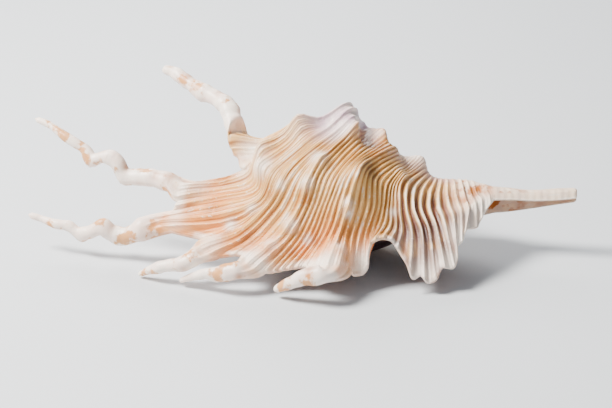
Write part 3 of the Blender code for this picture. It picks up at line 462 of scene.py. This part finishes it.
def cap(ring, c_out, split_at, rims, points):
    """Closes a ring: its outside is laced to its inside from the rim to the place split_at."""
    k = len(ring)
    mid = k - (rims + 1) // 2
    split = int(np.argmin(abs(c_out - split_at)))
    a = [ring[(mid + q) % k] for q in range((split - mid) % k + 1)]
    b = [ring[(mid - q) % k] for q in range((mid - split) % k + 1)]
    return zip_cap(a, b, points)


def digit(ring, leave, turn, root, heels, path, rows, rims, count):
    """Rings of points from the lip's ring out to a digit's tip."""
    centre = ring.mean(axis=0)
    way = np.array([[*centre, path[0][3]]] + [list(p) for p in path], float)
    far = np.concatenate([[0], np.cumsum(np.linalg.norm(np.diff(way[:, :3], axis=0), axis=1))])
    s = np.linspace(0, far[-1], count)
    line = local_spline([(far[q], *way[q]) for q in range(len(way))], s)
    ahead = unit(np.gradient(line[:, :3], s, axis=0))
    at_root = int(np.argmin(abs(s - root)))
    # angle of each point round the digit, by its place round the lip's ring: the middle of the
    # outside is at a quarter turn
    edge = np.linalg.norm(np.roll(ring, -1, axis=0) - ring, axis=1)
    theta = 2 * math.pi * np.concatenate([[0], np.cumsum(edge)[:-1]]) / edge.sum()
    theta = math.pi / 2 + theta - theta[rows // 2]
    u = ring[0] - ring[rows - 1]
    u = unit(u - ahead[at_root] * (u @ ahead[at_root]))
    v = np.cross(ahead[at_root], u)
    if v @ (ring[rows // 2] - ring[rows + rims + rows // 2]) < 0:
        v = -v
    rounds = {}
    for q in range(at_root, count):
        u = unit(u - ahead[q] * (u @ ahead[q]))
        v = unit(v - ahead[q] * (v @ ahead[q]) - u * (v @ u))
        r = line[q, 3] * (1 + .07 * math.sin(.7 * s[q] + 5 * root) + .03 * math.sin(1.7 * s[q]))
        left = (far[-1] - s[q]) / DIGIT_END
        if left < 1:
            r = r * math.sqrt(max(.05, 1 - (1 - left) ** 2))
        new = line[q, :3] + r * (np.cos(theta)[:, None] * u * 1.05 + np.sin(theta)[:, None] * v * .95)
        for *at, dx, dy, dz, height, spread in heels:
            pull = unit(np.array([dx, dy, dz], float))
            side = np.clip(((new - line[q, :3]) @ pull) / r, 0, 1)
            near = np.exp(-np.sum((line[q, :3] - at) ** 2) / spread**2)
            new = new + (height * side * near)[:, None] * pull
        rounds[q] = new
    goal = rounds[at_root]
    leave = unit(leave)
    leave = unit((leave + leave.mean(axis=0)) * (1 - turn) + turn * 2 * unit(goal.mean(axis=0) - centre))
    span = np.linalg.norm(goal - ring, axis=1, keepdims=True)
    first = []
    for q in range(1, at_root):
        first.append(hermite(s[q] / s[at_root], ring, goal, leave * span, ahead[at_root] * span))
    rings = first + [rounds[q] for q in range(at_root, count)]
    for r in rings:
        r[:, 2] = np.maximum(r[:, 2], 0)
    return rings, s


def build(n, c_out, c_in, digit_rings, ends, rims):
    """Points in mm, faces, and four marks a point: cord, across, 1 inside, millimetres out along a digit."""
    rings, outer = shell_rings(n, c_out, c_in, ends, rims)
    m, k = rings.shape[:2]
    grid = settle(rings.reshape(-1, 3))
    points = [grid]
    inner_places = DEEPEST_MARK * c_in[::-1]
    end_places = np.linspace(c_out[-1], inner_places[0], ends + 2)[1:-1]
    places = np.concatenate([c_out, end_places, inner_places, np.zeros(rims)])
    within = np.concatenate([np.zeros(len(c_out)), np.ones(ends + len(c_in)), np.full(rims, .5)])
    marks = [np.stack([np.repeat(n, k), np.tile(places, m), np.tile(within, m), np.zeros(m * k)], axis=1)]
    total = m * k
    faces = []
    spans = [tuple(int(np.argmin(abs(n - v))) for v in entry[0]) for entry in DIGITS]
    first_rim = k - rims - 1      # the lip's inner edge, then the rim
    for i in range(m - 1):
        for j in range(k):
            if not (j >= first_rim and any(a <= i < b for a, b in spans)):
                j2 = (j + 1) % k
                faces.append((i * k + j, (i + 1) * k + j, (i + 1) * k + j2, i * k + j2))
    # the canal's blunt tip, then the shell's back end
    ring = rings[-1]
    middle = ring[:len(c_out)].mean(axis=0)
    prev = [(m - 1) * k + j for j in range(k)]
    for shrink, ahead in BLUNT_TIP:
        ids = list(range(total, total + k))
        points.append(middle + (ring - middle) * shrink + np.array([ahead, 0, 0]))
        marks.append(marks[0][-k:])
        total += k
        faces += [(prev[j], ids[j], ids[(j + 1) % k], prev[(j + 1) % k]) for j in range(k)]
        prev = ids
    so_far = np.concatenate(points)
    faces += [t[::-1] for t in cap(prev, c_out, FRONT_LACED_AT, rims, so_far)]
    faces += cap(list(range(k)), c_out, BACK_LACED_AT, rims, so_far)
    for (i0, i1), (_, root, turn, heels, path) in zip(spans, DIGITS):
        rows = list(range(i1, i0 - 1, -1))
        loop = [i * k for i in rows] + [i0 * k + j for j in range(k - 1, k - rims - 1, -1)]
        loop += [i * k + first_rim for i in rows[::-1]] + [i1 * k + j for j in range(k - rims, k)]
        stations = rows + [i0] * rims + rows[::-1] + [i1] * rims
        leave = outer[stations, 0] - outer[stations, 1]
        new_rings, s = digit(grid[loop], leave, turn, root, heels, path, len(rows), rims, digit_rings)
        prev = loop
        for q, new in enumerate(new_rings, 1):
            ids = list(range(total, total + len(loop)))
            points.append(new)
            mark = marks[0][loop].copy()
            mark[:, 3] = s[q]
            marks.append(mark)
            total += len(loop)
            for j in range(len(loop)):
                j2 = (j + 1) % len(loop)
                faces.append((prev[j], prev[j2], ids[j2], ids[j]))
            prev = ids
        faces.append(tuple(prev))
    return np.concatenate(points), faces, np.concatenate(marks)


def spire(xs, around):
    """The whorls behind the last one: rings round the axis from the apex to inside the body."""
    phi = np.arange(around) * 360 / around
    turn = np.radians(phi)
    rings = []
    marks = []
    for x in xs:
        far = x - APEX_X
        f = np.mod(np.log(far / KEEL_FROM_APEX) / math.log(WHORL_SHRINK) - (phi - 90) / 360, 1)
        swell = SPIRE_SWELL[0] * np.cos(2 * math.pi * f) + SPIRE_SWELL[1] * np.cos(4 * math.pi * f)
        knobs = SPIRE_KNOB * bell(np.minimum(f, 1 - f), 0, .09) * (1 + np.cos(turn * SPIRE_KNOBS))
        # past the suture the surface tucks in under the last whorl
        suture = SUTURE * WHORL_SHRINK ** (np.mod(phi - 90, 360) / 360)
        q = far * (SPIRE_WIDTH + swell + knobs) * (1 - .45 * np.clip((far - suture + 1.2) / 5, 0, 1))
        rings.append(np.stack([np.full(around, x), -q * np.cos(turn), AXIS_Z + q * np.sin(turn)], axis=1))
        marks.append(np.stack([f, np.full(around, far), np.full(around, -1), np.zeros(around)], axis=1))
    ends = np.array([[APEX_X - .2, 0, AXIS_Z], [xs[-1], 0, AXIS_Z]])
    k = len(xs)
    faces = []
    for j in range(around):
        j2 = (j + 1) % around
        for i in range(k - 1):
            faces.append((i * around + j, (i + 1) * around + j, (i + 1) * around + j2, i * around + j2))
        faces.append((k * around, j, j2))
        faces.append((k * around + 1, (k - 1) * around + j2, (k - 1) * around + j))
    end_marks = np.array([[.5, 0, -1, 0], [.5, xs[-1] - APEX_X, -1, 0]])
    return np.concatenate(rings + [ends]), faces, np.concatenate(marks + [end_marks])


class Tree:
    """A material whose shader nodes are added one to a line."""

    def __init__(self, name):
        self.material = bpy.data.materials.new(name)
        self.material.use_nodes = True
        self.tree = self.material.node_tree
        self.surface = self.tree.nodes["Principled BSDF"]

    def put(self, socket, value):
        if isinstance(value, bpy.types.NodeSocket):
            self.tree.links.new(value, socket)
        elif isinstance(value, tuple) and len(value) == 3 and socket.type == "RGBA":
            socket.default_value = (*value, 1)
        else:
            socket.default_value = value

    def paint(self, **values):
        """Sets inputs of the surface, named with _ for a space."""
        for name, value in values.items():
            self.put(self.surface.inputs[name.replace("_", " ")], value)

    def mark(self, name):
        node = self.tree.nodes.new("ShaderNodeAttribute")
        node.attribute_name = name
        return node.outputs["Fac"]

    def place(self):
        node = self.tree.nodes.new("ShaderNodeTexCoord")
        return node.outputs["Object"]

    def math(self, operation, a, b=0.0, c=0.0):
        node = self.tree.nodes.new("ShaderNodeMath")
        node.operation = operation
        for socket, value in zip(node.inputs, (a, b, c)):
            self.put(socket, value)
        return node.outputs[0]

    def combine(self, x, y, z):
        node = self.tree.nodes.new("ShaderNodeCombineXYZ")
        for socket, value in zip(node.inputs, (x, y, z)):
            self.put(socket, value)
        return node.outputs[0]

    def noise(self, at, scale, detail=3.0, rough=.55):
        node = self.tree.nodes.new("ShaderNodeTexNoise")
        self.put(node.inputs["Vector"], at)
        node.inputs["Scale"].default_value = scale
        node.inputs["Detail"].default_value = detail
        node.inputs["Roughness"].default_value = rough
        return node.outputs["Fac"]

    def step(self, a, b, x):
        """0 where x is a, 1 where it is b, smoothly between."""
        node = self.tree.nodes.new("ShaderNodeMapRange")
        node.interpolation_type = "SMOOTHSTEP"
        for socket, value in zip(node.inputs, (x, a, b, 0, 1)):
            self.put(socket, value)
        return node.outputs[0]

    def wave(self, x):
        """1 at each whole number, 0 half way between."""
        return self.math("ABSOLUTE", self.math("MULTIPLY_ADD", self.math("FRACT", x), 2, -1))

    def times(self, *factors):
        result = factors[0]
        for factor in factors[1:]:
            result = self.math("MULTIPLY", result, factor)
        return result

    def over(self, under, colour, *shares):
        """A colour laid over another, as strongly as its shares multiplied."""
        node = self.tree.nodes.new("ShaderNodeMix")
        node.data_type = "RGBA"
        self.put(node.inputs[0], self.times(*shares))
        self.put(node.inputs[6], under)
        self.put(node.inputs[7], colour)
        return node.outputs[2]

    def bump(self, height, distance, strength, under=None):
        node = self.tree.nodes.new("ShaderNodeBump")
        node.inputs["Strength"].default_value = strength
        node.inputs["Distance"].default_value = distance
        self.put(node.inputs["Height"], height)
        if under is not None:
            self.put(node.inputs["Normal"], under)
        return node.outputs[0]


CREAM = (.80, .46, .15)
OCHRE = (.40, .14, .012)
RUST = (.42, .12, .004)
ORANGE = (.52, .17, .03)
AMBER = (.60, .22, .008)
# painted shade, dark brown, for the hollows between the knobs
SHADE_BROWN = (.070, .018, .010)
MAROON = (.16, .035, .022)
# painted shade, grey mauve, for the low lobes of the lip past the notch
FRINGE_SHADE = (.22, .13, .13)
PEACH = (.84, .27, .04)
PINK = (.82, .34, .26)
LILAC = (.50, .33, .43)
WHITE = (.95, .84, .73)
LIP_EDGE = (.90, .62, .50)
LIP_ORANGE = (.80, .26, .09)
MOUTH_DARK = (.014, .005, .012)
MOUTH_THREAD = (.36, .22, .24)
BELLY_DARK = (.016, .005, .012)
CANAL_PALE = (.86, .55, .38)
CANAL_ORANGE = (.82, .34, .16)
GLAZE_CREAM = (.88, .66, .46)
GLAZE_ORANGE = (.78, .40, .19)
SPIRE_PALE = (.84, .70, .62)
SPIRE_TAN = (.66, .40, .24)

# Patches of colour on the cords: cord, across, radius in mm, strength
PALE_SPOTS = [
    (17, 2.2, 2.2, .9), (18, 1.82, 1.6, 1), (18.2, 1.2, 1.6, 1), (18, .65, 1.8, 1), (8, 1.86, 3, .9),
    (24, 1.43, 1.3, 1), (24.3, 1.3, 1.1, 1), (24.3, .46, 2.2, 1), (11, 1.3, 1.4, .8), (12, .8, 1.6, .9),
    (29, 1.3, 1.1, .8), (18, 2.68, 2, .8), (28.8, 3.3, 3.6, .9), (26.5, .1, 4, .9), (6, .3, 4, .5),
    (14, .2, 3.2, .9), (10, .2, 3, .7), (18, .1, 3.5, 1), (24, .1, 3.5, 1), (32, .1, 3, .7),
    (34.5, .15, 3, .7), (37, .1, 3.5, .8), (5.8, 2.4, 3.5, .5), (21, 2.9, 1.5, .5), (40.5, .3, 3.5, .8),
    (3.4, .6, 4, .8), (5.1, 1.1, 2.6, .7), (5, 1.7, 3, .7), (14, 1.75, 1.4, .7), (21, .9, 1.2, .7),
]
RUST_SPOTS = [
    (8.4, 2.45, 2, 1), (18.5, 1.6, 1.8, 1), (18.5, .42, 1.6, .9), (20.5, .45, 2, .9), (24.8, 1.05, 1.9, .9),
    (11.5, .95, 2, .9), (9.5, .8, 2.6, .9), (13.4, .6, 2.2, .9), (22.5, 2.7, 2.6, .6), (17.5, 2.3, 1.4, .8),
    (38, 1.7, 2.2, .9), (39.5, 1.5, 2, .9), (36.5, 1.8, 1.8, .8), (41, 1.6, 2.2, .9), (24.6, 2.5, 2.4, .6),
    (6.3, 1.1, 1.6, .6), (15.5, .95, 2.4, .9), (22, .75, 2.2, .8), (12.5, 1.6, 1.6, .7), (6.6, .35, 3, .9),
    (9, .35, 2.6, .8), (16, .4, 2, .7),
]
# painted shade: brown darkening in the hollows between the knobs and down the grooves of the lip past the
# notch
SHADE_SPOTS = [
    (25.2, 2.2, 3, .85), (19.5, 2.72, 2.2, .7), (22.5, 2.95, 1.6, .6), (18.7, 3, 2, .4), (30, 1.15, 2, .8),
    (31, 1.05, 2.6, .9), (32.3, 1, 2.8, 1), (33.5, 1.05, 2.8, .9), (35, 1.1, 2.4, .8), (36.5, 1, 2, .6),
]
# the same on the digits: x, y, z in mm, radius, strength
DIGIT_SPOTS = [
    (-33, -31.7, 5, 1.5, 1), (-15, -38, 6.2, 1.5, .9), (-18, -36, 6, 1.3, .9), (1, -41, 9.5, 1.6, 1),
    (-44, -12, 9.5, 2.6, 1), (-38, -7, 23, 2, .9), (-51, -2, 24.5, 1.4, .9), (-57.5, 1, 27.5, 1.2, .8),
    (-24, 8, 42.5, 1.7, .8), (-34, 16, 45.5, 1.6, .9), (-39, 20, 47, 1.2, .8), (-19.5, 0, 36, 1.6, .8),
    (-55, -10, 9.6, 1.4, .8), (-30, -9, 24, 2.4, .8), (-42, -6, 23.5, 1.4, .8), (-40, -13, 10, 2, .9),
]


def patches(points, spots):
    """How much of a list of patches each point has, 0 to 1."""
    found = np.zeros(len(points))
    for *at, radius, strength in spots:
        if len(at) == 2:
            ctrl = control_points(np.array([float(at[0])]))
            at = along(ctrl, np.array([[float(at[1])]]))[0, 0]
        far = np.sum((points - at) ** 2, axis=1) / radius**2
        found = np.maximum(found, strength * np.exp(-far))
    return found


def painted(points, marks):
    """The values that each point of the mesh carries for the material, by name."""
    cord, across, inside, out = marks.T
    return {
        "cord": cord,                                 # the cord's number
        "across": across,                             # the place along the cord
        "inside": inside,                             # 1 inside, .5 on the rim, -1 on the spire
        "out": out,                                   # millimetres out along a digit
        "count": np.interp(cord, *CORD_COUNT),        # how many cords there are up to here
        "pale": patches(points, PALE_SPOTS),
        "rust": patches(points, RUST_SPOTS + DIGIT_SPOTS),
        # painted shade in the hollows between the knobs and in the grooves past the notch
        "shade": patches(points, SHADE_SPOTS),
    }


class ShellPaint(Tree):
    """The shell's material, laid on from the outside's cords to the mouth and the spire."""

    def __init__(self):
        super().__init__("shell")
        self.cord = self.mark("cord")
        self.across = self.mark("across")
        self.inside = self.mark("inside")
        self.out = self.mark("out")
        self.count = self.mark("count")
        self.rusty = self.mark("rust")
        self.at = self.place()
        wobble = self.math("MULTIPLY_ADD", self.noise(self.at, 160, 2), .5, -.25)
        # 1 on a cord's ridge, 0 in the groove
        self.ridge = self.wave(self.math("MULTIPLY_ADD", wobble, .4, self.count))
        self.clouds = self.noise(self.at, 70, 4)
        colour = self.body()
        colour = self.crest(colour)
        colour = self.canal_blots(colour)
        colour = self.spots(colour)
        colour = self.digits(colour)
        colour = self.mouth(colour)
        colour = self.glaze(colour)
        colour = self.spire(colour)
        self.paint(Base_Color=colour, Roughness=self.dullness(), Normal=self.fine_relief())
        self.paint(Specular_IOR_Level=.55, Subsurface_Weight=.05, Subsurface_Scale=.6)
        self.surface.inputs["Subsurface Radius"].default_value = (.004, .0022, .0016)

    def along_cords(self, by_count, by_across, layer):
        """Where a noise is read that is drawn out along the cords."""
        return self.combine(self.times(self.count, by_count), self.times(self.across, by_across), layer)

    def body(self):
        """Cream ridges and ochre grooves, a peach wing, dark grooves beside the notch, and painted shade on
        the low lobes of the lip past the notch.
        """
        cord, across, ridge, clouds = self.cord, self.across, self.ridge, self.clouds
        streaks = self.noise(self.along_cords(2.3, 2.2, 0), 1, 3)
        self.flecks = self.noise(self.along_cords(1.1, 7, 3), 1.6, 4, .65)
        patch = self.noise(self.along_cords(.45, 1.9, 7), 1, 4, .6)
        between = self.step(.72, .18, ridge)
        depth = self.math("MULTIPLY_ADD", self.step(.3, .62, streaks), .6, .4)
        colour = self.over(CREAM, OCHRE, between, depth)
        colour = self.over(colour, OCHRE, self.step(.50, .70, clouds), .45)
        colour = self.over(colour, WHITE, self.step(.54, .68, patch), self.step(.3, .75, ridge), .75)
        colour = self.over(colour, ORANGE, self.step(.42, .30, patch), .7)
        wing = self.times(self.step(1.7, .8, across), self.step(28.5, 26, cord), self.step(2, 6, cord))
        colour = self.over(colour, PEACH, wing, self.step(.25, .6, clouds), .8)
        flecked = self.step(.45, .65, self.flecks)
        colour = self.over(colour, CREAM, wing, self.step(.55, .9, ridge), flecked, .6)
        colour = self.over(colour, RUST, wing, between, self.step(.5, .7, streaks), .6)
        fringe = self.times(self.step(28, 30.5, cord), self.step(38, 35.5, cord), self.step(2.3, 1.5, across))
        colour = self.over(colour, MAROON, fringe, self.step(.7, .3, ridge), self.step(.6, 1, across), .85)
        colour = self.over(colour, WHITE, fringe, self.step(.6, .9, ridge), .6)
        # painted shade: the low lobes of the lip past the notch are darkened to grey mauve in blotches
        low = self.times(self.step(28.5, 30, cord), self.step(42, 40, cord), self.step(1.25, .7, across))
        return self.over(colour, FRINGE_SHADE, low, self.step(.2, .5, self.noise(self.at, 140, 3)), .8)

    def crest(self, colour):
        """The crest is pale, bluish towards the back end."""
        cord, across, clouds = self.cord, self.across, self.clouds
        whole = self.times(self.step(2.45, 2.85, across), self.step(6.8, 5.5, across))
        back = self.times(self.step(2.35, 2.65, across), self.step(3.9, 3.4, across), self.step(19, 15, cord))
        colour = self.over(colour, LILAC, back, .92)
        colour = self.over(colour, WHITE, back, self.step(.4, .65, clouds), .7)
        return self.over(colour, LILAC, whole, self.step(.62, .42, clouds), .4)

    def canal_blots(self, colour):
        """Orange blots on white near the canal."""
        near_canal = self.step(35, 39, self.cord)
        blots = self.step(.46, .58, self.noise(self.at, 260, 3))
        colour = self.over(colour, WHITE, near_canal, .6)
        high = self.step(.9, 1.5, self.across)
        return self.over(colour, RUST, near_canal, high, blots, self.step(45, 42, self.cord))

    def spots(self, colour):
        """The single patches, with painted shade in the hollows, white flecks on the ridges and the lip's
        white edge.
        """
        # painted shade: dark brown in the hollows and grooves, off the ridges
        colour = self.over(colour, SHADE_BROWN, self.mark("shade"), self.step(.98, .5, self.ridge))
        colour = self.over(colour, RUST, self.rusty, self.step(.28, .46, self.flecks), .9)
        colour = self.over(colour, WHITE, self.mark("pale"))
        flecked = self.step(.52, .66, self.flecks)
        colour = self.over(colour, WHITE, self.step(.6, .95, self.ridge), flecked, .7)
        worn = self.step(.35, .6, self.noise(self.at, 110, 3))
        return self.over(colour, WHITE, self.step(.28, .04, self.across), worn, .8)

    def digits(self, colour):
        """White digits with amber patches."""
        skin = self.over(WHITE, PINK, self.step(.35, .65, self.noise(self.at, 130, 4)), .2)
        skin = self.over(skin, AMBER, self.step(.53, .60, self.noise(self.at, 150, 5, .6)), .85)
        skin = self.over(skin, LILAC, self.step(.55, .8, self.noise(self.at, 420, 2)), .25)
        skin = self.over(skin, RUST, self.rusty, .95)
        return self.over(colour, skin, self.step(.5, 4.5, self.out))

    def mouth(self, colour):
        """White at the lip's edge, then an orange band, then dark purple with pale threads."""
        cord, across, ridge = self.cord, self.across, self.ridge
        mouth = self.over(LIP_EDGE, LIP_ORANGE, self.step(.05, .22, across))
        mouth = self.over(mouth, MOUTH_DARK, self.step(.25, .7, across))
        deep = self.times(self.step(.4, 1.2, across), self.step(3, 2, across))
        mouth = self.over(mouth, MOUTH_THREAD, self.step(.72, .95, ridge), deep, .35)
        canal = self.over(CANAL_PALE, CANAL_ORANGE, self.step(.35, .7, self.clouds))
        mouth = self.over(mouth, canal, self.step(36, 42, cord))
        return self.over(colour, mouth, self.step(.35, .75, self.inside), self.step(6, 1, self.out))

    def glaze(self, colour):
        """The belly is glazed cream and orange, and dark towards the mouth."""
        across = self.across
        belly = self.times(self.step(6.6, 7.2, across), self.step(.5, .3, self.inside),
                           self.step(40, 36, self.cord))
        glazed = self.over(GLAZE_CREAM, GLAZE_ORANGE, self.step(.35, .65, self.clouds))
        colour = self.over(colour, glazed, belly, .85)
        colour = self.over(colour, BELLY_DARK, belly, self.step(7.0, 7.7, across), .97)
        threads = self.step(.75, .97, self.ridge)
        return self.over(colour, MOUTH_THREAD, belly, self.step(7.5, 8.5, across), threads, .22)

    def spire(self, colour):
        """The spire is paler, and worn white at its shoulder."""
        whorls = self.over(SPIRE_PALE, SPIRE_TAN, self.step(.4, .7, self.noise(self.at, 220, 3)))
        whorls = self.over(whorls, WHITE, self.step(.3, .05, self.cord), .7)
        return self.over(colour, whorls, self.step(-.2, -.8, self.inside))

    def dullness(self):
        """Satin outside and smoother in the mouth."""
        dull = self.math("MULTIPLY_ADD", self.noise(self.at, 300, 3), .22, .30)
        return self.math("SUBTRACT", dull, self.times(self.step(.35, .75, self.inside), .18))

    def fine_relief(self):
        """Fine threads along the cords, growth lines across them, and grain."""
        growth = self.noise(self.along_cords(.5, 26, self.out), 1, 3)
        grain = self.noise(self.at, 900, 4)
        finer = self.wave(self.times(self.count, 3))
        outside = self.times(self.step(.5, .1, self.out), self.step(.5, .2, self.inside))
        threads = self.times(finer, self.step(2.7, 2.3, self.across), outside)
        normal = self.bump(threads, .00022, .5)
        normal = self.bump(growth, .00028, .6, normal)
        return self.bump(grain, .00012, .4, normal)


def shell_mesh():
    """The shell's points in mm, its faces and its marks, without the points that no face uses."""
    cords = np.linspace(FIRST_CORD, LAST_CORD, SECTIONS)
    points, faces, marks = build(cords, ACROSS_OUTSIDE, ACROSS_INSIDE, DIGIT_RINGS, END_RINGS, RIM_ROWS)
    spire_places = np.linspace(APEX_X + .6, 0, SPIRE_RINGS)
    more, more_faces, more_marks = spire(spire_places, SPIRE_AROUND)
    faces += [tuple(i + len(points) for i in face) for face in more_faces]
    points = np.concatenate([points, more])
    marks = np.concatenate([marks, more_marks])
    used = np.unique(np.concatenate([np.array(face) for face in faces]))
    number = np.zeros(len(points), int)
    number[used] = np.arange(len(used))
    return points[used], [number[list(face)].tolist() for face in faces], marks[used]


def draw_in(placed):
    """Draws the back in a little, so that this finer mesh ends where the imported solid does."""
    packed_back = first_bounds[1][1] / MM
    behind = placed[:, 1] > DRAWN_IN_FROM
    share = (packed_back - DRAWN_IN_FROM) / (placed[:, 1].max() - DRAWN_IN_FROM)
    placed[behind, 1] = DRAWN_IN_FROM + (placed[behind, 1] - DRAWN_IN_FROM) * share
    return placed


def add_shell():
    points, faces, marks = shell_mesh()
    mesh = bpy.data.meshes.new("shell_detail")
    mesh.from_pydata((draw_in(points + TO_ORIGIN) * MM).tolist(), [], faces)
    for name, values in painted(points, marks).items():
        attribute = mesh.attributes.new(name, "FLOAT", "POINT")
        attribute.data.foreach_set("value", values.astype(np.float32))
    mesh.polygons.foreach_set("use_smooth", [True] * len(mesh.polygons))
    shell = bpy.data.objects.new("shell_detail", mesh)
    bpy.context.scene.collection.objects.link(shell)
    mesh.materials.append(ShellPaint().material)
    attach(shell, "root")
    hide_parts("shell")


# The stage and the camera, in metres.
FLOOR_REACH = 3
FLOOR_PAINT = (.56, .59, .62)
WORLD_COLOUR = (.88, .93, 1)
WORLD_STRENGTH = .36
# name, place, size, watts, colour
LIGHTS = [
    ("key", (-.45, -.05, .6), .25, 23, (1, .96, .91)),
    ("fill", (.3, -.8, .4), .8, 1.6, (.95, .97, 1)),
    ("rim", (-.1, .7, .45), .4, 6, (1, 1, 1)),
]
LIGHTS_AIM = (0, 0, .01)
CAMERA_AIM = Vector((TO_ORIGIN[0], TO_ORIGIN[1], 12.5)) * MM
CAMERA_FAR = .52
CAMERA_DOWN = math.radians(22)
CAMERA_LENS = 107        # mm, over a sensor SENSOR_WIDTH wide
SENSOR_WIDTH = 36


def look_at(obj, target):
    obj.rotation_euler = (Vector(target) - obj.location).to_track_quat("-Z", "Y").to_euler()


def add_floor():
    e = FLOOR_REACH
    mesh = bpy.data.meshes.new("floor")
    mesh.from_pydata([(-e, -e, 0), (e, -e, 0), (e, e, 0), (-e, e, 0)], [], [(0, 1, 2, 3)])
    floor = bpy.data.objects.new("floor", mesh)
    bpy.context.scene.collection.objects.link(floor)
    tree = Tree("floor")
    tree.paint(Base_Color=FLOOR_PAINT, Roughness=.6)
    mesh.materials.append(tree.material)


def add_lights():
    world = bpy.data.worlds.new("studio")
    world.use_nodes = True
    background = world.node_tree.nodes["Background"]
    background.inputs["Color"].default_value = (*WORLD_COLOUR, 1)
    background.inputs["Strength"].default_value = WORLD_STRENGTH
    bpy.context.scene.world = world
    for name, place, size, watts, colour in LIGHTS:
        data = bpy.data.lights.new(name, "AREA")
        data.energy = watts
        data.size = size
        data.color = colour
        light = bpy.data.objects.new(name, data)
        light.location = place
        bpy.context.scene.collection.objects.link(light)
        look_at(light, LIGHTS_AIM)


def add_camera():
    data = bpy.data.cameras.new("camera")
    data.lens = CAMERA_LENS
    data.sensor_width = SENSOR_WIDTH
    data.clip_end = 10
    camera = bpy.data.objects.new("camera", data)
    back = Vector((0, -math.cos(CAMERA_DOWN), math.sin(CAMERA_DOWN)))
    camera.location = CAMERA_AIM + back * CAMERA_FAR
    look_at(camera, CAMERA_AIM)
    bpy.context.scene.collection.objects.link(camera)
    bpy.context.scene.camera = camera


add_shell()
add_floor()
add_lights()
add_camera()
